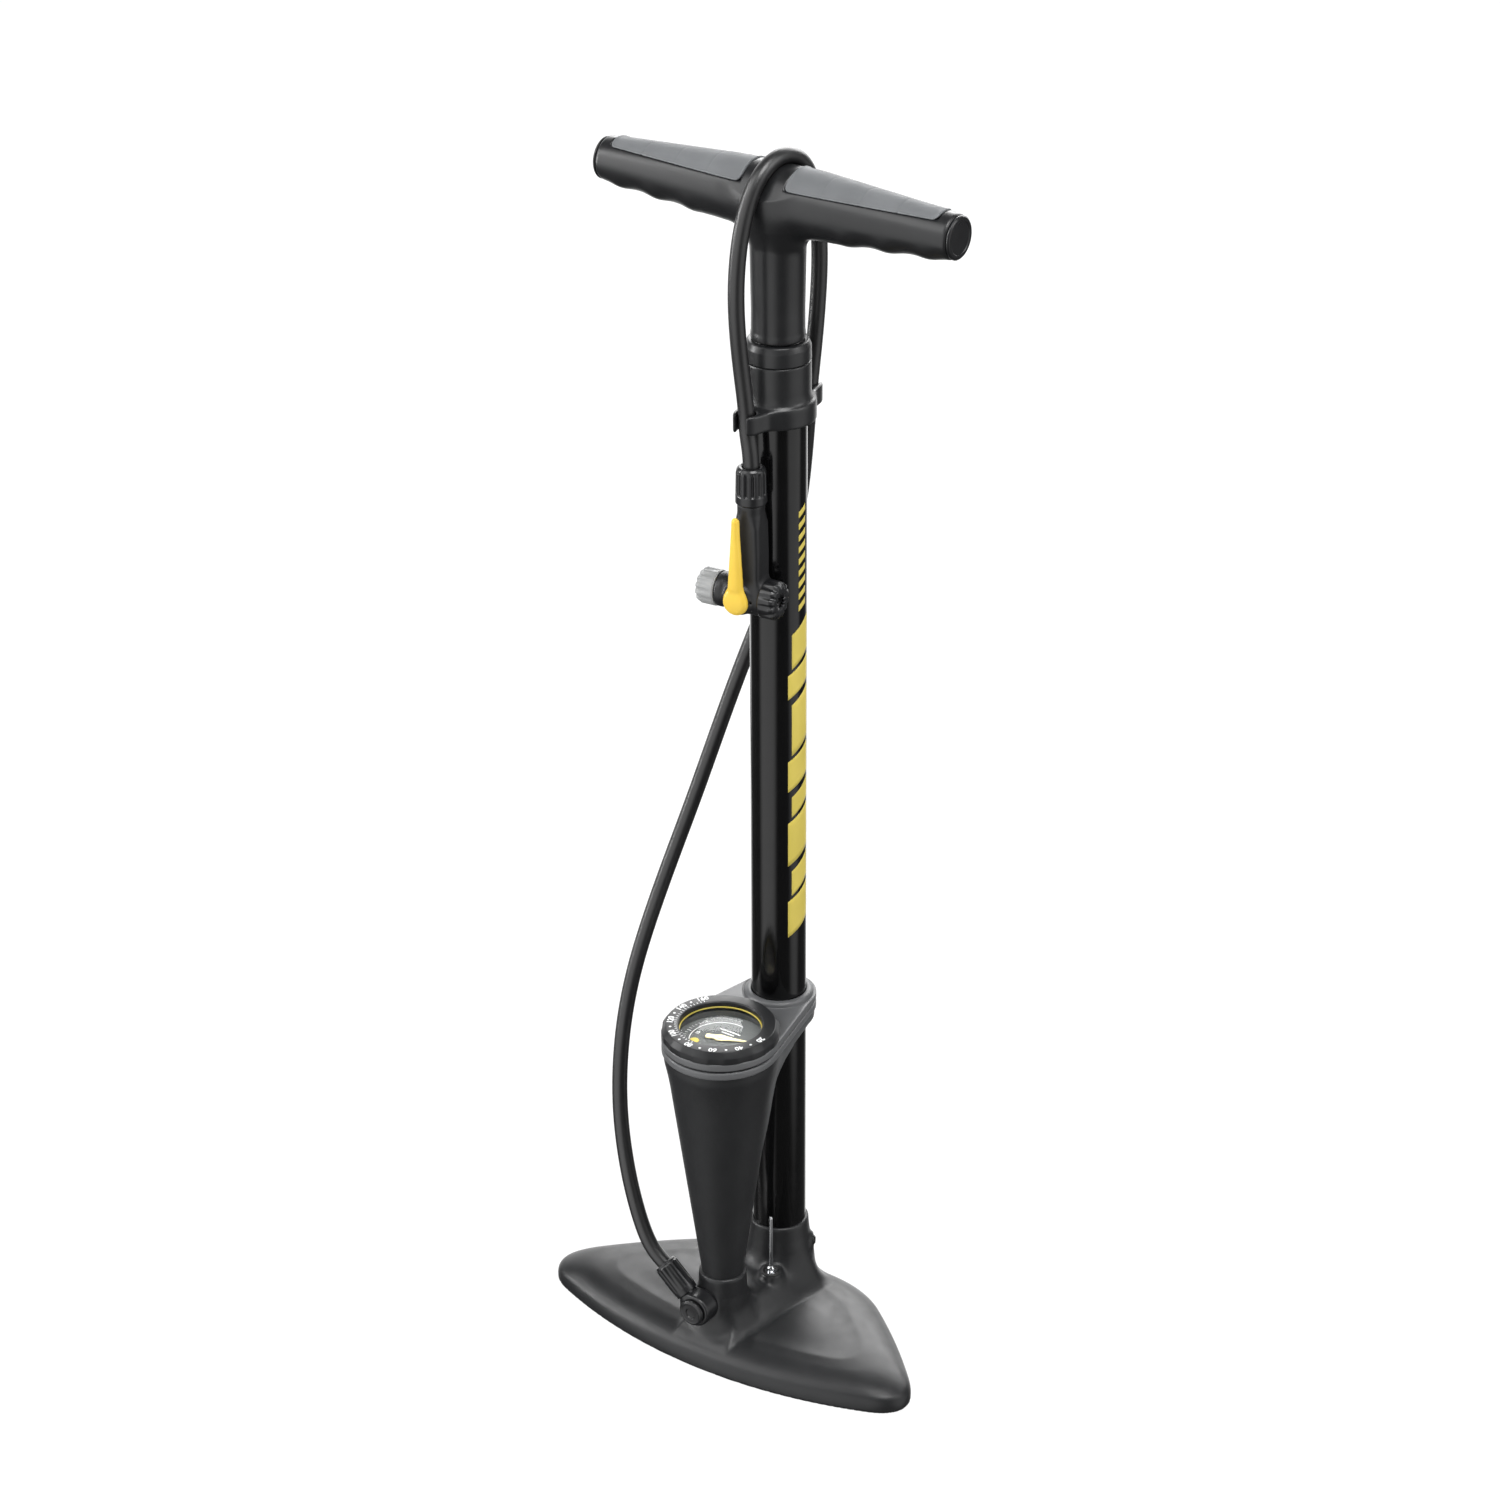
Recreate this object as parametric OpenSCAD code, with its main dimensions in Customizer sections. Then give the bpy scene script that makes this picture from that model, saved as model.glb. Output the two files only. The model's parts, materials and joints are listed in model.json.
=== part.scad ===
// Floor bike pump: moulded foot plate, steel barrel, T-handle plunger, tapered gauge post,
// air hose looped over the handle, and a twin valve head with a lock lever.
// Millimetres, +Z up. The barrel's axis is the Z axis and the floor is Z = 0. -Y is the front.

/* [Barrel] */
// Outside diameter of the barrel
barrel_d = 30; // [28:0.5:36]
// Wall of the barrel
barrel_wall = 1.25; // [1:0.05:1.6]
// Length of the barrel
barrel_len = 543; // [440:1:660]
// Height of the flange under the barrel's foot
plug_flange = 3; // [2:0.5:5]
// Height of the floor of the barrel's socket
socket_floor = 26; // [24:1:30]
// Height of the socket's rim
socket_rim = 55; // [50:1:62]
// Wall of the socket at its rim
socket_wall = 1.3; // [1.2:0.1:3]
// How far the socket spreads at its foot
socket_flare = 4.3; // [2:0.1:6]
// Height of the two socket screws
screw_z = 38; // [36:1:40]
// Angle of the right socket screw behind the X axis
screw_angle = 30; // [20:5:40]

/* [Foot plate] */
// Radius of the long front edge
front_r = 282; // [260:1:340]
// How far the front edge is in front of the barrel
front_y = 84.5; // [83:0.5:100]
// How far the back edge is behind the barrel
back_y = 23; // [22:1:30]
// Radius of the two back flanks
flank_r = 390; // [300:5:470]
// How far the flanks stand out from the barrel's axis, along their mean normal
flank_out = 45.6; // [44:0.1:56]
// Direction of the flanks' mean normal, from the X axis
flank_dir = 52.4; // [50:0.1:56]
// How far the flanks' middles lie along them, towards the front
flank_slide = 43; // [30:1:56]
// Rounding of the plate's corners
corner_blend = 26; // [16:1:34]
// Thickness of the plate's skin
skin = 3; // [2.5:0.1:4]
// Height of the plate's upright rim
rim_z = 5; // [4:0.5:8]
// Height of the shoulder inside the rim
shoulder_z = 15; // [13:0.5:18]
// Width of the rim's rounding
shoulder_run = 12; // [8:1:16]
// How much the plate rises from its shoulder to its middle
crown_rise = 5; // [2:0.5:8]
// Depth of the two footpads
pad_depth = 1.2; // [0.4:0.1:2]
// Height of the spine above the plate
spine_rise = 11; // [6:0.5:14]
// Thickness of the ribs under the plate
rib_t = 2.2; // [1.6:0.1:4]

/* [Gauge post] */
// How far the post's axis is in front of the barrel's
post_y = 55.5; // [54:0.5:66]
// Height of the post's foot
post_foot_z = 40; // [38:1:44]
// Height of the post's top
post_top_z = 192; // [170:1:220]
// Radius of the post's foot
post_foot_r = 11.5; // [11:0.1:12.5]
// Radius of the post's top
post_top_r = 30; // [28:0.5:32]
// Wall of the post
post_wall = 2; // [1.6:0.1:2.4]
// Wall of the collar that holds the post's foot
collar_wall = 1.8; // [1.4:0.1:3]
// Height of the collar's rim
collar_rim = 50; // [47:1:54]
// Thickness of each bracket band
band_t = 4.4; // [3:0.1:6]
// Thickness of the gasket between the bands
gasket_t = 1; // [0.6:0.1:2]
// Radius of the bands round the gauge
band_r = 32; // [31.5:0.5:36]
// Wall of the bands round the barrel
band_wall = 5.5; // [4:0.5:8]

/* [Gauge] */
// Outside radius of the gauge case
case_r = 25; // [24.5:0.1:25.2]
// Depth of the gauge case below the bands
case_depth = 12; // [12:0.5:14]
// Height of the bezel ring
bezel_h = 6.7; // [6:0.1:9]
// Outside radius of the bezel ring
bezel_r = 31; // [30:0.5:31.5]
// Radius of the bezel's opening
opening_r = 22.4; // [21.5:0.1:23]
// Width of the bezel's chamfer
bezel_chamfer = 4; // [2:0.5:5]
// Length of the needle from its spindle to its tip
needle_len = 16.3; // [12:0.1:19]
// Length of the needle's tail
needle_tail = 8.5; // [4:0.5:10]
// Direction in which the needle points at rest, from the X axis
needle_rest = 17; // [0:1:30]

/* [Handle and plunger] */
// Height of the handle's axis above the neck's foot
handle_rise = 74; // [66:0.5:90]
// Length of the handle
handle_len = 209; // [160:1:260]
// Radius of the handle's middle
handle_mid_r = 17.2; // [16:0.1:18]
// Radius of the handle's ends
handle_end_r = 11.7; // [10:0.1:14]
// Length of the handle's straight middle
handle_mid_len = 44; // [36:1:60]
// Radius of the handle's neck
neck_r = 13.8; // [12:0.1:15]
// Thickness of the grip pads
pad_t = 1.6; // [1:0.1:2.5]
// Outside diameter of the piston rod
rod_d = 12; // [10:0.5:14]
// Wall of the piston rod
rod_wall = 1.5; // [1:0.1:2]
// Height of the barrel cap above the hose clip
cap_h = 11; // [8:0.5:14]
// Wall of the hose clip's sleeve
clip_wall = 2; // [1.5:0.1:3]
// Height of the hose clip
clip_h = 32; // [26:1:40]
// Height of the clip's hooks
hook_h = 10; // [6:0.5:14]

/* [Hose and head] */
// Diameter of the hose
hose_d = 8.5; // [8:0.1:8.6]
// Radius of the elbow at the foot plate
elbow_r = 9; // [8:0.1:10]
// Length of the elbow along its bolt
elbow_len = 11; // [10:0.5:13]
// Radius of the ribbed hose nut on the elbow
base_nut_r = 6.8; // [6.4:0.1:8]
// Radius of the ribbed hose nut on the head
head_nut_r = 8.2; // [7.4:0.1:9]
// Radius of the head's stem
stem_r = 7.8; // [7:0.1:8.4]
// Radius of the head's cross tube
cross_r = 8.8; // [8.2:0.1:9.2]
// Radius of the left valve port
left_port_r = 2.9; // [2.4:0.1:3.4]
// Radius of the right valve port
right_port_r = 3.8; // [3.4:0.1:4.2]
// Length of the lock lever from its pivot to its tip
lever_len = 47.5; // [36:0.5:50]

/* [Ball needle] */
// Length of the ball needle above its bush
ball_needle_len = 37; // [28:1:42]
// Diameter of the ball needle
ball_needle_d = 2; // [1.6:0.1:2.4]

/* [Hidden] */

$fn = 64;
fit = 0.05;            // gap of a close fit, and running gap of a shaft or piston
gap = 0.3;             // gap between pieces that move past each other

charcoal = [0.16, 0.16, 0.17];
black = [0.06, 0.06, 0.065];
mid_grey = [0.36, 0.36, 0.37];
pad_grey = [0.45, 0.46, 0.47];
steel = [0.75, 0.76, 0.78];
brass = [0.78, 0.62, 0.30];
yellow = [0.95, 0.78, 0.20];
rubber = [0.10, 0.10, 0.10];

// Barrel
barrel_r = barrel_d / 2;
bore_r = barrel_r - barrel_wall;
barrel_foot = socket_floor + plug_flange;
barrel_top = barrel_foot + barrel_len;
socket_r = barrel_r + fit;
spigot_r = 11;
plug_top = barrel_foot + 13;
plug_bottom = 12;
oring_z = barrel_foot + 1.5;
oring_h = 3;
oring_w = 2;
chamber_r = 4;
chamber_top = 33;
chamber_floor = 16;
retainer_r = 6;
duct_r = 2.5;
duct_z = 20;
screw_r = 1.6;
screw_head_r = 3;
socket_foot_z = 34;
screw_seat = socket_r + socket_wall + socket_flare * 0.5;

// Gauge post, bracket and gauge, from the post's top upwards
manifold_r = 9;
manifold_foot = 14;
band_top = post_top_z + 2 * band_t + gasket_t;
case_top = band_top + 1.2;
case_foot = post_top_z - case_depth;
case_wall = 1;
dial_z = band_top - 4.4;
dial_t = 0.8;
needle_z = dial_z + dial_t + 0.8;
needle_t = 0.6;
spindle_r = 0.6;
bezel_top = band_top + bezel_h;
lens_edge = 1.4;
web_drop = 26;
collar_r = post_foot_r + fit + collar_wall;

// Elbow on the post's collar
elbow_x = -3.5;
elbow_z = 33;
seat_y = post_y + collar_r - 1.5;
bolt_r = 2.5;
seal_t = 1;
elbow_angle = 42;
base_nut_from = 14;
base_nut_to = 31;
hose_end = 8;

// Hose clip, cap and neck
clip_top = barrel_top + 1;
clip_foot = clip_top - clip_h;
clip_r = barrel_r + fit + clip_wall;
cap_top = clip_top + cap_h;
spigot_len = 17;
bushing_r = rod_d / 2 + 2;
wiper_r = bushing_r + 0.5;
wiper_h = 3.6;
neck_foot = cap_top + 0.5;
handle_z = neck_foot + handle_rise;
hook_reach = 25.5;
hook_turn = -4;
hook_wall = 2;
hook_mouth = 6;

// Plunger
rod_top = handle_z - 6;
stud_r = 3;
nut_foot = plug_top + 3;
nut_h = 4;
washer_t = 1.5;
piston_foot = nut_foot + nut_h + washer_t;
piston_h = 14;
bumper_h = 12;
insert_h = 12;
insert_r = 9.5;
plug_in = 8;
end_plug_r = handle_end_r - 2.2;
pad_from = 13;
pad_to = handle_len / 2 - 7;
pad_half_w = 0.62;

// Head, in its own frame: origin where stem and cross tube meet, X along the cross tube
head_pos = [0.8, -barrel_r - 10.6, 451];
head_turn = 6;
nut_foot_h = 52;
nut_h_head = 20;
pivot_x = -3;
cross_left = -18;
cross_right = 8;
cap_left_end = -29.2;
cap_right_end = 17.4;
cap_left_r = 9.6;
cap_right_r = 10.3;
cross_bore = 5.5;
lever_face = cap_right_r + 0.4;
lever_t = 4.2;
hub_r = 6.8;
shaft_r = 2.5;

// Ball needle
bush_pos = [10.5, -barrel_r - 8.5];
bush_top = 33;
bush_r = 3.4;

// ---------- shared shapes ----------

function smooth(t) = let (c = min(max(t, 0), 1)) c * c * (3 - 2 * c);
function smooth_min(a, b, k) = let (h = max(k - abs(a - b), 0) / k) min(a, b) - h * h * k / 4;
function mix(a, b, t) = a + (b - a) * t;

// A ring or stepped cylinder about Z from its [radius, height] corners.
module turned(corners) rotate_extrude() polygon(corners);

module tube(r_out, r_in, z0, z1)
    turned([[r_in, z0], [r_out, z0], [r_out, z1], [r_in, z1]]);

module rod(r, z0, z1)
    translate([0, 0, z0]) cylinder(r = r, h = z1 - z0);

// Children drawn about Z are laid with their Z along -Y (front) or along +X.
module face_front() rotate([90, 0, 0]) children();
module face_right() rotate([0, 90, 0]) children();

// Straight grooves cut round a knob or nut of radius r.
module rib_cuts(r, z0, z1, count, width, depth)
    for (i = [0 : count - 1])
        rotate([0, 0, 360 * i / count])
            translate([r - depth, -width / 2, z0]) cube([2 * depth, width, z1 - z0]);

// ---------- foot plate ----------

flank_centre = [
    (flank_out - flank_r) * cos(flank_dir) + flank_slide * sin(flank_dir),
    (flank_out - flank_r) * sin(flank_dir) - flank_slide * cos(flank_dir)
];

// Distance inwards from the plate's outline: front arc, two flank arcs and the back line.
function edge_in(x, y) =
    let (front = front_r - norm([x, y + front_y - front_r]),
         flank = flank_r - norm([abs(x) - flank_centre[0], y - flank_centre[1]]),
         back = back_y - y)
    smooth_min(smooth_min(front, flank, corner_blend), back, corner_blend / 2);

// How far the spine between barrel and front stands out at a point, from 0 to 1.
function spine_share(x, y) =
    let (along = (y + 15) / -58,
         top_w = mix(17, 7, along),
         foot_w = mix(34, 14, along))
    smooth((foot_w - abs(x)) / (foot_w - top_w)) * smooth((y + 78) / 22) * smooth((15 - y) / 14);

function plate_z(x, y) =
    let (d = max(edge_in(x, y), 0),
         bend = 1 - min(d / shoulder_run, 1),
         spine = spine_share(x, y),
         pad = smooth((d - 17) / 4) * smooth((abs(x) - mix(42, 22, (y + 15) / -58)) / 8))
    mix(rim_z, shoulder_z, sqrt(1 - bend * bend)) + crown_rise * smooth((d - 12) / 40)
        - pad_depth * pad + spine_rise * spine;

plate_mid = [0, -32];
plate_rays = 72;
plate_rings = [0.16, 0.32, 0.46, 0.58, 0.68, 0.76, 0.83, 0.89, 0.94, 0.975, 1];

// Length of a ray from the plate's middle to where the outline lies inset inwards.
function ray_len(angle, inset, low, high, step) =
    let (half = (low + high) / 2,
         d = edge_in(plate_mid[0] + half * cos(angle), plate_mid[1] + half * sin(angle)))
    step == 0 ? half
              : d > inset ? ray_len(angle, inset, half, high, step - 1)
                          : ray_len(angle, inset, low, half, step - 1);

// The plate as one solid, inset inwards and lowered by drop, standing on z_foot.
module plate(inset, drop, z_foot) {
    reach = [for (i = [0 : plate_rays - 1]) ray_len(360 * i / plate_rays, inset, 10, 180, 22)];
    top = [for (share = plate_rings) for (i = [0 : plate_rays - 1])
        let (x = plate_mid[0] + share * reach[i] * cos(360 * i / plate_rays),
             y = plate_mid[1] + share * reach[i] * sin(360 * i / plate_rays))
        [x, y, plate_z(x, y) - drop]];
    rings = len(plate_rings);
    last = (rings - 1) * plate_rays;
    foot = [for (i = [0 : plate_rays - 1]) [top[last + i][0], top[last + i][1], z_foot]];
    peak = rings * plate_rays + plate_rays;
    points = concat(top, foot, [[plate_mid[0], plate_mid[1], plate_z(plate_mid[0], plate_mid[1]) - drop],
                                [plate_mid[0], plate_mid[1], z_foot]]);
    function next(i) = (i + 1) % plate_rays;
    polyhedron(points, concat(
        [for (i = [0 : plate_rays - 1]) [peak, next(i), i]],
        [for (k = [0 : rings - 1]) for (i = [0 : plate_rays - 1])
            [k * plate_rays + i, k * plate_rays + next(i), (k + 1) * plate_rays + next(i)]],
        [for (k = [0 : rings - 1]) for (i = [0 : plate_rays - 1])
            [k * plate_rays + i, (k + 1) * plate_rays + next(i), (k + 1) * plate_rays + i]],
        [for (i = [0 : plate_rays - 1]) [peak + 1, rings * plate_rays + i, rings * plate_rays + next(i)]]));
}

module plate_ribs() {
    for (x = [-90, -60, -30, 30, 60, 90])
        translate([x - rib_t / 2, -90, -4]) cube([rib_t, 120, 44]);
    for (y = [-62, -30, 0])
        translate([-130, y - rib_t / 2, -4]) cube([260, rib_t, 44]);
}

module base_shell() color(charcoal) difference() {
    union() {
        difference() {
            plate(0, 0, -2);
            difference() {
                plate(skin, skin, -3);
                plate_ribs();
                rod(socket_r + 3, -4, socket_floor - 2);
                translate([0, -post_y, 0]) rod(collar_r - 1, -4, post_foot_z - 8);
                translate([bush_pos[0], bush_pos[1], 0]) rod(bush_r + 1.5, -4, bush_top - 14);
            }
        }
        turned([[0, 10], [socket_r + socket_wall + socket_flare, 10],
                [socket_r + socket_wall + socket_flare, socket_foot_z - 4],
                [socket_r + socket_wall + socket_flare * 0.5, socket_foot_z + 3],
                [socket_r + socket_wall, socket_rim], [0, socket_rim]]);
        translate([0, -post_y, 0])
            turned([[0, 10], [collar_r + 3, 10], [collar_r + 3, 24], [collar_r, 38],
                    [collar_r, collar_rim], [0, collar_rim]]);
        translate([elbow_x, -post_y, elbow_z]) face_front() rod(elbow_r + 0.5, 0, seat_y - post_y);
        translate([bush_pos[0], bush_pos[1], 0]) rod(bush_r + 2.2, 10, bush_top);
    }
    rod(socket_r, socket_floor, socket_rim + 1);
    rod(spigot_r + fit, -1, socket_floor + 1);
    translate([0, -post_y, 0]) {
        rod(post_foot_r + fit, post_foot_z, collar_rim + 1);
        rod(manifold_r + fit, -1, post_foot_z + 1);
    }
    translate([0, 0, duct_z]) face_front() rod(duct_r + fit, 0, post_y);
    translate([elbow_x, -post_y, elbow_z]) face_front() rod(bolt_r + fit, 0, 40);
    translate([bush_pos[0], bush_pos[1], 0]) rod(bush_r + fit, bush_top - 12, bush_top + 1);
    at_screws() rod(screw_r + fit, 0, 40);
    at_screws() rod(screw_head_r + gap, screw_seat, 40);
    at_elbow(0) face_front() rod(elbow_r + gap, 0, elbow_len + 2 * seal_t + 3);
    translate([-200, -200, -10]) cube([400, 400, 10]);
}

// Children drawn outwards along Z stand on the barrel's axis at each socket screw.
module at_screws()
    for (angle = [screw_angle, 180 - screw_angle])
        translate([0, 0, screw_z]) rotate([0, 0, angle]) face_right() children();

module socket_screws() color(black) at_screws() {
    rod(screw_r, bore_r - 3, screw_seat + 1);
    difference() {
        turned([[0, screw_seat], [screw_head_r, screw_seat], [screw_head_r, screw_seat + 1.2],
                [1.6, screw_seat + 2.2], [0, screw_seat + 2.2]]);
        for (turn = [0, 90])
            rotate([0, 0, turn]) translate([-2, -0.4, screw_seat + 1]) cube([4, 0.8, 2]);
    }
}

// ---------- barrel and foot valve ----------

module barrel() color(black) difference() {
    tube(barrel_r, bore_r, barrel_foot, barrel_top);
    at_screws() rod(screw_r + fit, 0, 40);
}

module foot_plug() color(mid_grey) difference() {
    turned([[0, plug_bottom], [spigot_r, plug_bottom], [spigot_r, socket_floor],
            [barrel_r, socket_floor], [barrel_r, barrel_foot], [bore_r - fit, barrel_foot],
            [bore_r - fit, oring_z], [bore_r - oring_w, oring_z],
            [bore_r - oring_w, oring_z + oring_h], [bore_r - fit, oring_z + oring_h],
            [bore_r - fit, plug_top], [0, plug_top]]);
    rod(chamber_r, chamber_floor - 1, chamber_top);
    rod(1.6, chamber_top - 1, plug_top + 1);
    rod(retainer_r + fit, plug_bottom - 1, chamber_floor);
    translate([0, 0, duct_z]) face_front() rod(duct_r + fit, 0, spigot_r + 1);
    at_screws() rod(screw_r + fit, bore_r - 3 - fit, bore_r + 1);
}

module foot_oring() color(rubber)
    tube(bore_r - fit / 2, bore_r - oring_w + fit, oring_z + fit, oring_z + oring_h - fit);

module valve_retainer() color(brass) rod(retainer_r, plug_bottom, chamber_floor - fit);

poppet_z = chamber_top - 0.1;

module check_valve_poppet() color(brass) {
    rod(chamber_r - gap, poppet_z - 2.6, poppet_z);
    rod(1.2, poppet_z - 8, poppet_z - 2);
}

// A helix of round wire about Z.
module helix(coil_r, wire_r, z0, z1, turns) {
    steps = turns * 14;
    sides = 6;
    points = [for (i = [0 : steps]) for (k = [0 : sides - 1])
        let (angle = 360 * turns * i / steps,
             r = coil_r + wire_r * cos(360 * k / sides),
             z = mix(z0 + wire_r, z1 - wire_r, i / steps) + wire_r * sin(360 * k / sides))
        [r * cos(angle), r * sin(angle), z]];
    polyhedron(points, concat(
        [[for (k = [0 : sides - 1]) k]],
        [for (i = [0 : steps - 1]) for (k = [0 : sides - 1])
            [i * sides + k, (i + 1) * sides + k, (i + 1) * sides + (k + 1) % sides]],
        [for (i = [0 : steps - 1]) for (k = [0 : sides - 1])
            [i * sides + k, (i + 1) * sides + (k + 1) % sides, i * sides + (k + 1) % sides]],
        [[for (k = [sides - 1 : -1 : 0]) steps * sides + k]]));
}

module check_valve_spring() color(steel)
    helix(2.6, 0.35, chamber_floor + fit, poppet_z - 2.6 - fit, 5);

module air_duct() color(steel) translate([0, 0, duct_z]) face_front()
    tube(duct_r, duct_r - 0.8, chamber_r + 1, post_y - manifold_r + 4);

module manifold() color(brass) difference() {
    translate([0, -post_y, 0]) rod(manifold_r, manifold_foot, post_foot_z);
    translate([0, -post_y, 0]) rod(2, duct_z, post_foot_z + 1);
    translate([0, 0, duct_z]) face_front() rod(duct_r + fit, 0, post_y - manifold_r + 4);
    translate([0, 0, duct_z]) face_front() rod(1.2, 0, post_y);
    translate([elbow_x, -post_y, elbow_z]) face_front() rod(bolt_r + fit, 0, 20);
}

module gauge_feed_tube() color(steel) translate([0, -post_y, 0])
    tube(1.8, 1.1, post_foot_z - 6, case_foot - 4);

// ---------- gauge post and bracket ----------

// Outline of a band round the post's top and the barrel: two arcs joined by their tangents.
module teardrop(post_radius, barrel_radius) {
    tilt = asin((post_radius - barrel_radius) / post_y);
    polygon(concat(
        [for (step = [0 : 32]) let (angle = mix(-tilt, -180 + tilt, step / 32))
            [post_radius * cos(angle), post_radius * sin(angle) - post_y]],
        [for (step = [0 : 24]) let (angle = mix(180 + tilt, -tilt, step / 24))
            [barrel_radius * cos(angle), barrel_radius * sin(angle)]]));
}

ring_r = barrel_r + fit + band_wall;

module gauge_post() color(black) difference() {
    union() {
        translate([0, -post_y, 0])
            turned([[0, post_foot_z], [post_foot_r, post_foot_z], [post_foot_r, collar_rim],
                    [post_top_r, post_top_z - 4], [post_top_r, post_top_z], [0, post_top_z]]);
        translate([0, 0, post_top_z - 6]) linear_extrude(6) teardrop(post_top_r, ring_r - 1);
        difference() {
            translate([0, 0, post_top_z - web_drop]) linear_extrude(web_drop)
                intersection() {
                    teardrop(post_top_r, ring_r - 1);
                    translate([-40, -post_y + 12]) square([80, post_y + 20]);
                }
            translate([-50, ring_r, post_top_z - 6]) rotate([-atan(web_drop / post_y), 0, 0])
                translate([0, -150, -100]) cube([100, 200, 100]);
        }
    }
    translate([0, -post_y, 0])
        turned([[0, post_foot_z - 1], [post_foot_r - post_wall, post_foot_z - 1],
                [post_foot_r - post_wall, collar_rim], [post_top_r - post_wall, post_top_z - 4],
                [post_top_r - post_wall, post_top_z + 1], [0, post_top_z + 1]]);
    rod(barrel_r + fit, post_top_z - web_drop - 10, post_top_z + 1);
}

module band(z0, inset) difference() {
    translate([0, 0, z0]) linear_extrude(band_t) teardrop(band_r - inset, ring_r - inset);
    rod(barrel_r + fit, z0 - 1, z0 + band_t + 1);
    translate([0, -post_y, 0]) rod(case_r + fit, z0 - 1, z0 + band_t + 1);
}

module bracket_lower() color(mid_grey) band(post_top_z, 0);

module bracket_gasket() color(black) difference() {
    translate([0, 0, post_top_z + band_t]) linear_extrude(gasket_t)
        teardrop(band_r - 1, ring_r - 1);
    rod(barrel_r + fit, post_top_z, band_top);
    translate([0, -post_y, 0]) rod(case_r + fit, post_top_z, band_top);
}

module bracket_upper() color(mid_grey) {
    band(post_top_z + band_t + gasket_t, 0);
    tube(barrel_r + 3, barrel_r + fit, band_top - 1, band_top + 2.2);
}

// ---------- gauge ----------

module at_gauge() translate([0, -post_y, 0]) children();

module gauge_case() color(steel) at_gauge() difference() {
    union() {
        rod(case_r, case_foot, case_top);
        rod(4, case_foot - 6, case_foot + 1);
    }
    rod(case_r - case_wall, case_foot + case_wall, case_top + 1);
    rod(1.8 + fit, case_foot - 7, case_foot - 3);
    rod(1.1, case_foot - 7, case_foot + 2);
}

module bourdon_tube() color(brass) at_gauge() {
    rotate([0, 0, 120]) rotate_extrude(angle = 270)
        translate([16, case_foot + 5]) circle(r = 1.6);
    rotate([0, 0, 120]) translate([16, 0, case_foot + case_wall]) cylinder(r = 2.2, h = 5.6);
}

module movement_plate() color(brass) at_gauge() difference() {
    union() {
        rod(10, case_foot + case_wall, case_foot + case_wall + 1.5);
        rod(2.2, case_foot + case_wall, dial_z - 4);
        for (angle = [45, 225])
            rotate([0, 0, angle]) translate([8, 0, 0]) rod(1.2, case_foot + 2, dial_z - fit);
    }
    rod(spindle_r + fit, case_foot + case_wall + 0.5, dial_z);
}

module dial_face() color("white") at_gauge() difference() {
    rod(case_r - case_wall - fit, dial_z, dial_z + dial_t);
    rod(spindle_r + gap, dial_z - 1, dial_z + dial_t + 1);
}

module gauge_bezel() color(black) at_gauge() difference() {
    turned([[0, band_top], [bezel_r, band_top], [bezel_r, bezel_top - bezel_chamfer * 0.6],
            [bezel_r - bezel_chamfer, bezel_top], [0, bezel_top]]);
    rod(opening_r, band_top - 1, bezel_top + 1);
    rod(case_r + fit, band_top - 1, case_top + lens_edge + fit);
}

module dial_ring() color(yellow) at_gauge()
    tube(opening_r - fit, opening_r - 0.7, bezel_top - 1.6, bezel_top - 0.4);

module gauge_lens() color([0.9, 0.95, 1.0, 0.3]) at_gauge() {
    rod(case_r - 0.5, case_top, case_top + lens_edge);
    intersection() {
        rod(opening_r - 1, case_top, case_top + 4.4);
        translate([0, 0, case_top + 4.2 - 75]) sphere(r = 75, $fn = 128);
    }
}

module gauge_needle() color(yellow) translate([0, -post_y, needle_z]) rotate([0, 0, needle_rest]) {
    difference() {
        union() {
            linear_extrude(needle_t) polygon([[needle_len, 0.2], [3, 1.5], [-needle_tail, 1.5],
                [-needle_tail, -1.5], [3, -1.5], [needle_len, -0.2]]);
            cylinder(r = 2.6, h = needle_t);
        }
        translate([0, 0, -1]) cylinder(r = spindle_r, h = needle_t + 1.5);
    }
}

module needle_spindle() color(steel) at_gauge()
    rod(spindle_r, case_foot + case_wall + 0.8, needle_z + needle_t - 0.5);

// ---------- elbow and base hose nut ----------

module at_elbow(out) translate([elbow_x, -seat_y - out, elbow_z]) children();

module along_base_nut()
    at_elbow(seal_t + elbow_len / 2) rotate([0, elbow_angle - 90, 0]) children();

module elbow() color(black) difference() {
    union() {
        at_elbow(seal_t) face_front() rod(elbow_r, 0, elbow_len);
        along_base_nut() rod(4.6, 0, base_nut_from);
    }
    at_elbow(0) face_front() rod(bolt_r + fit, 0, elbow_len + 5);
    along_base_nut() rod(1.6, 0, base_nut_from + 1);
}

module banjo_bolt() color(black) {
    translate([elbow_x, -post_y, elbow_z]) face_front()
        rod(bolt_r, 2, seat_y - post_y + elbow_len + 2 * seal_t + 1);
    at_elbow(elbow_len + 2 * seal_t) face_front()
        turned([[0, 0], [elbow_r - 1.4, 0], [elbow_r - 1.4, 0.8], [elbow_r - 3, 2], [0, 2]]);
}

module banjo_seals() color(rubber)
    for (out = [0, seal_t + elbow_len])
        at_elbow(out) face_front() tube(elbow_r - 2.5, bolt_r + fit, 0, seal_t);

module base_hose_nut() color(black) along_base_nut() difference() {
    union() {
        rod(base_nut_r, base_nut_from - 4, base_nut_to - 1);
        rod(base_nut_r - 0.6, base_nut_to - 2, base_nut_to);
    }
    rod(4.6 + fit, base_nut_from - 5, base_nut_from);
    rod(hose_d / 2 + gap, base_nut_to - hose_end, base_nut_to + 1);
    rod(3, base_nut_from - 1, base_nut_to - hose_end + 1);
    rib_cuts(base_nut_r, base_nut_from, base_nut_to - 2, 14, 1.2, 0.6);
}

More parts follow.
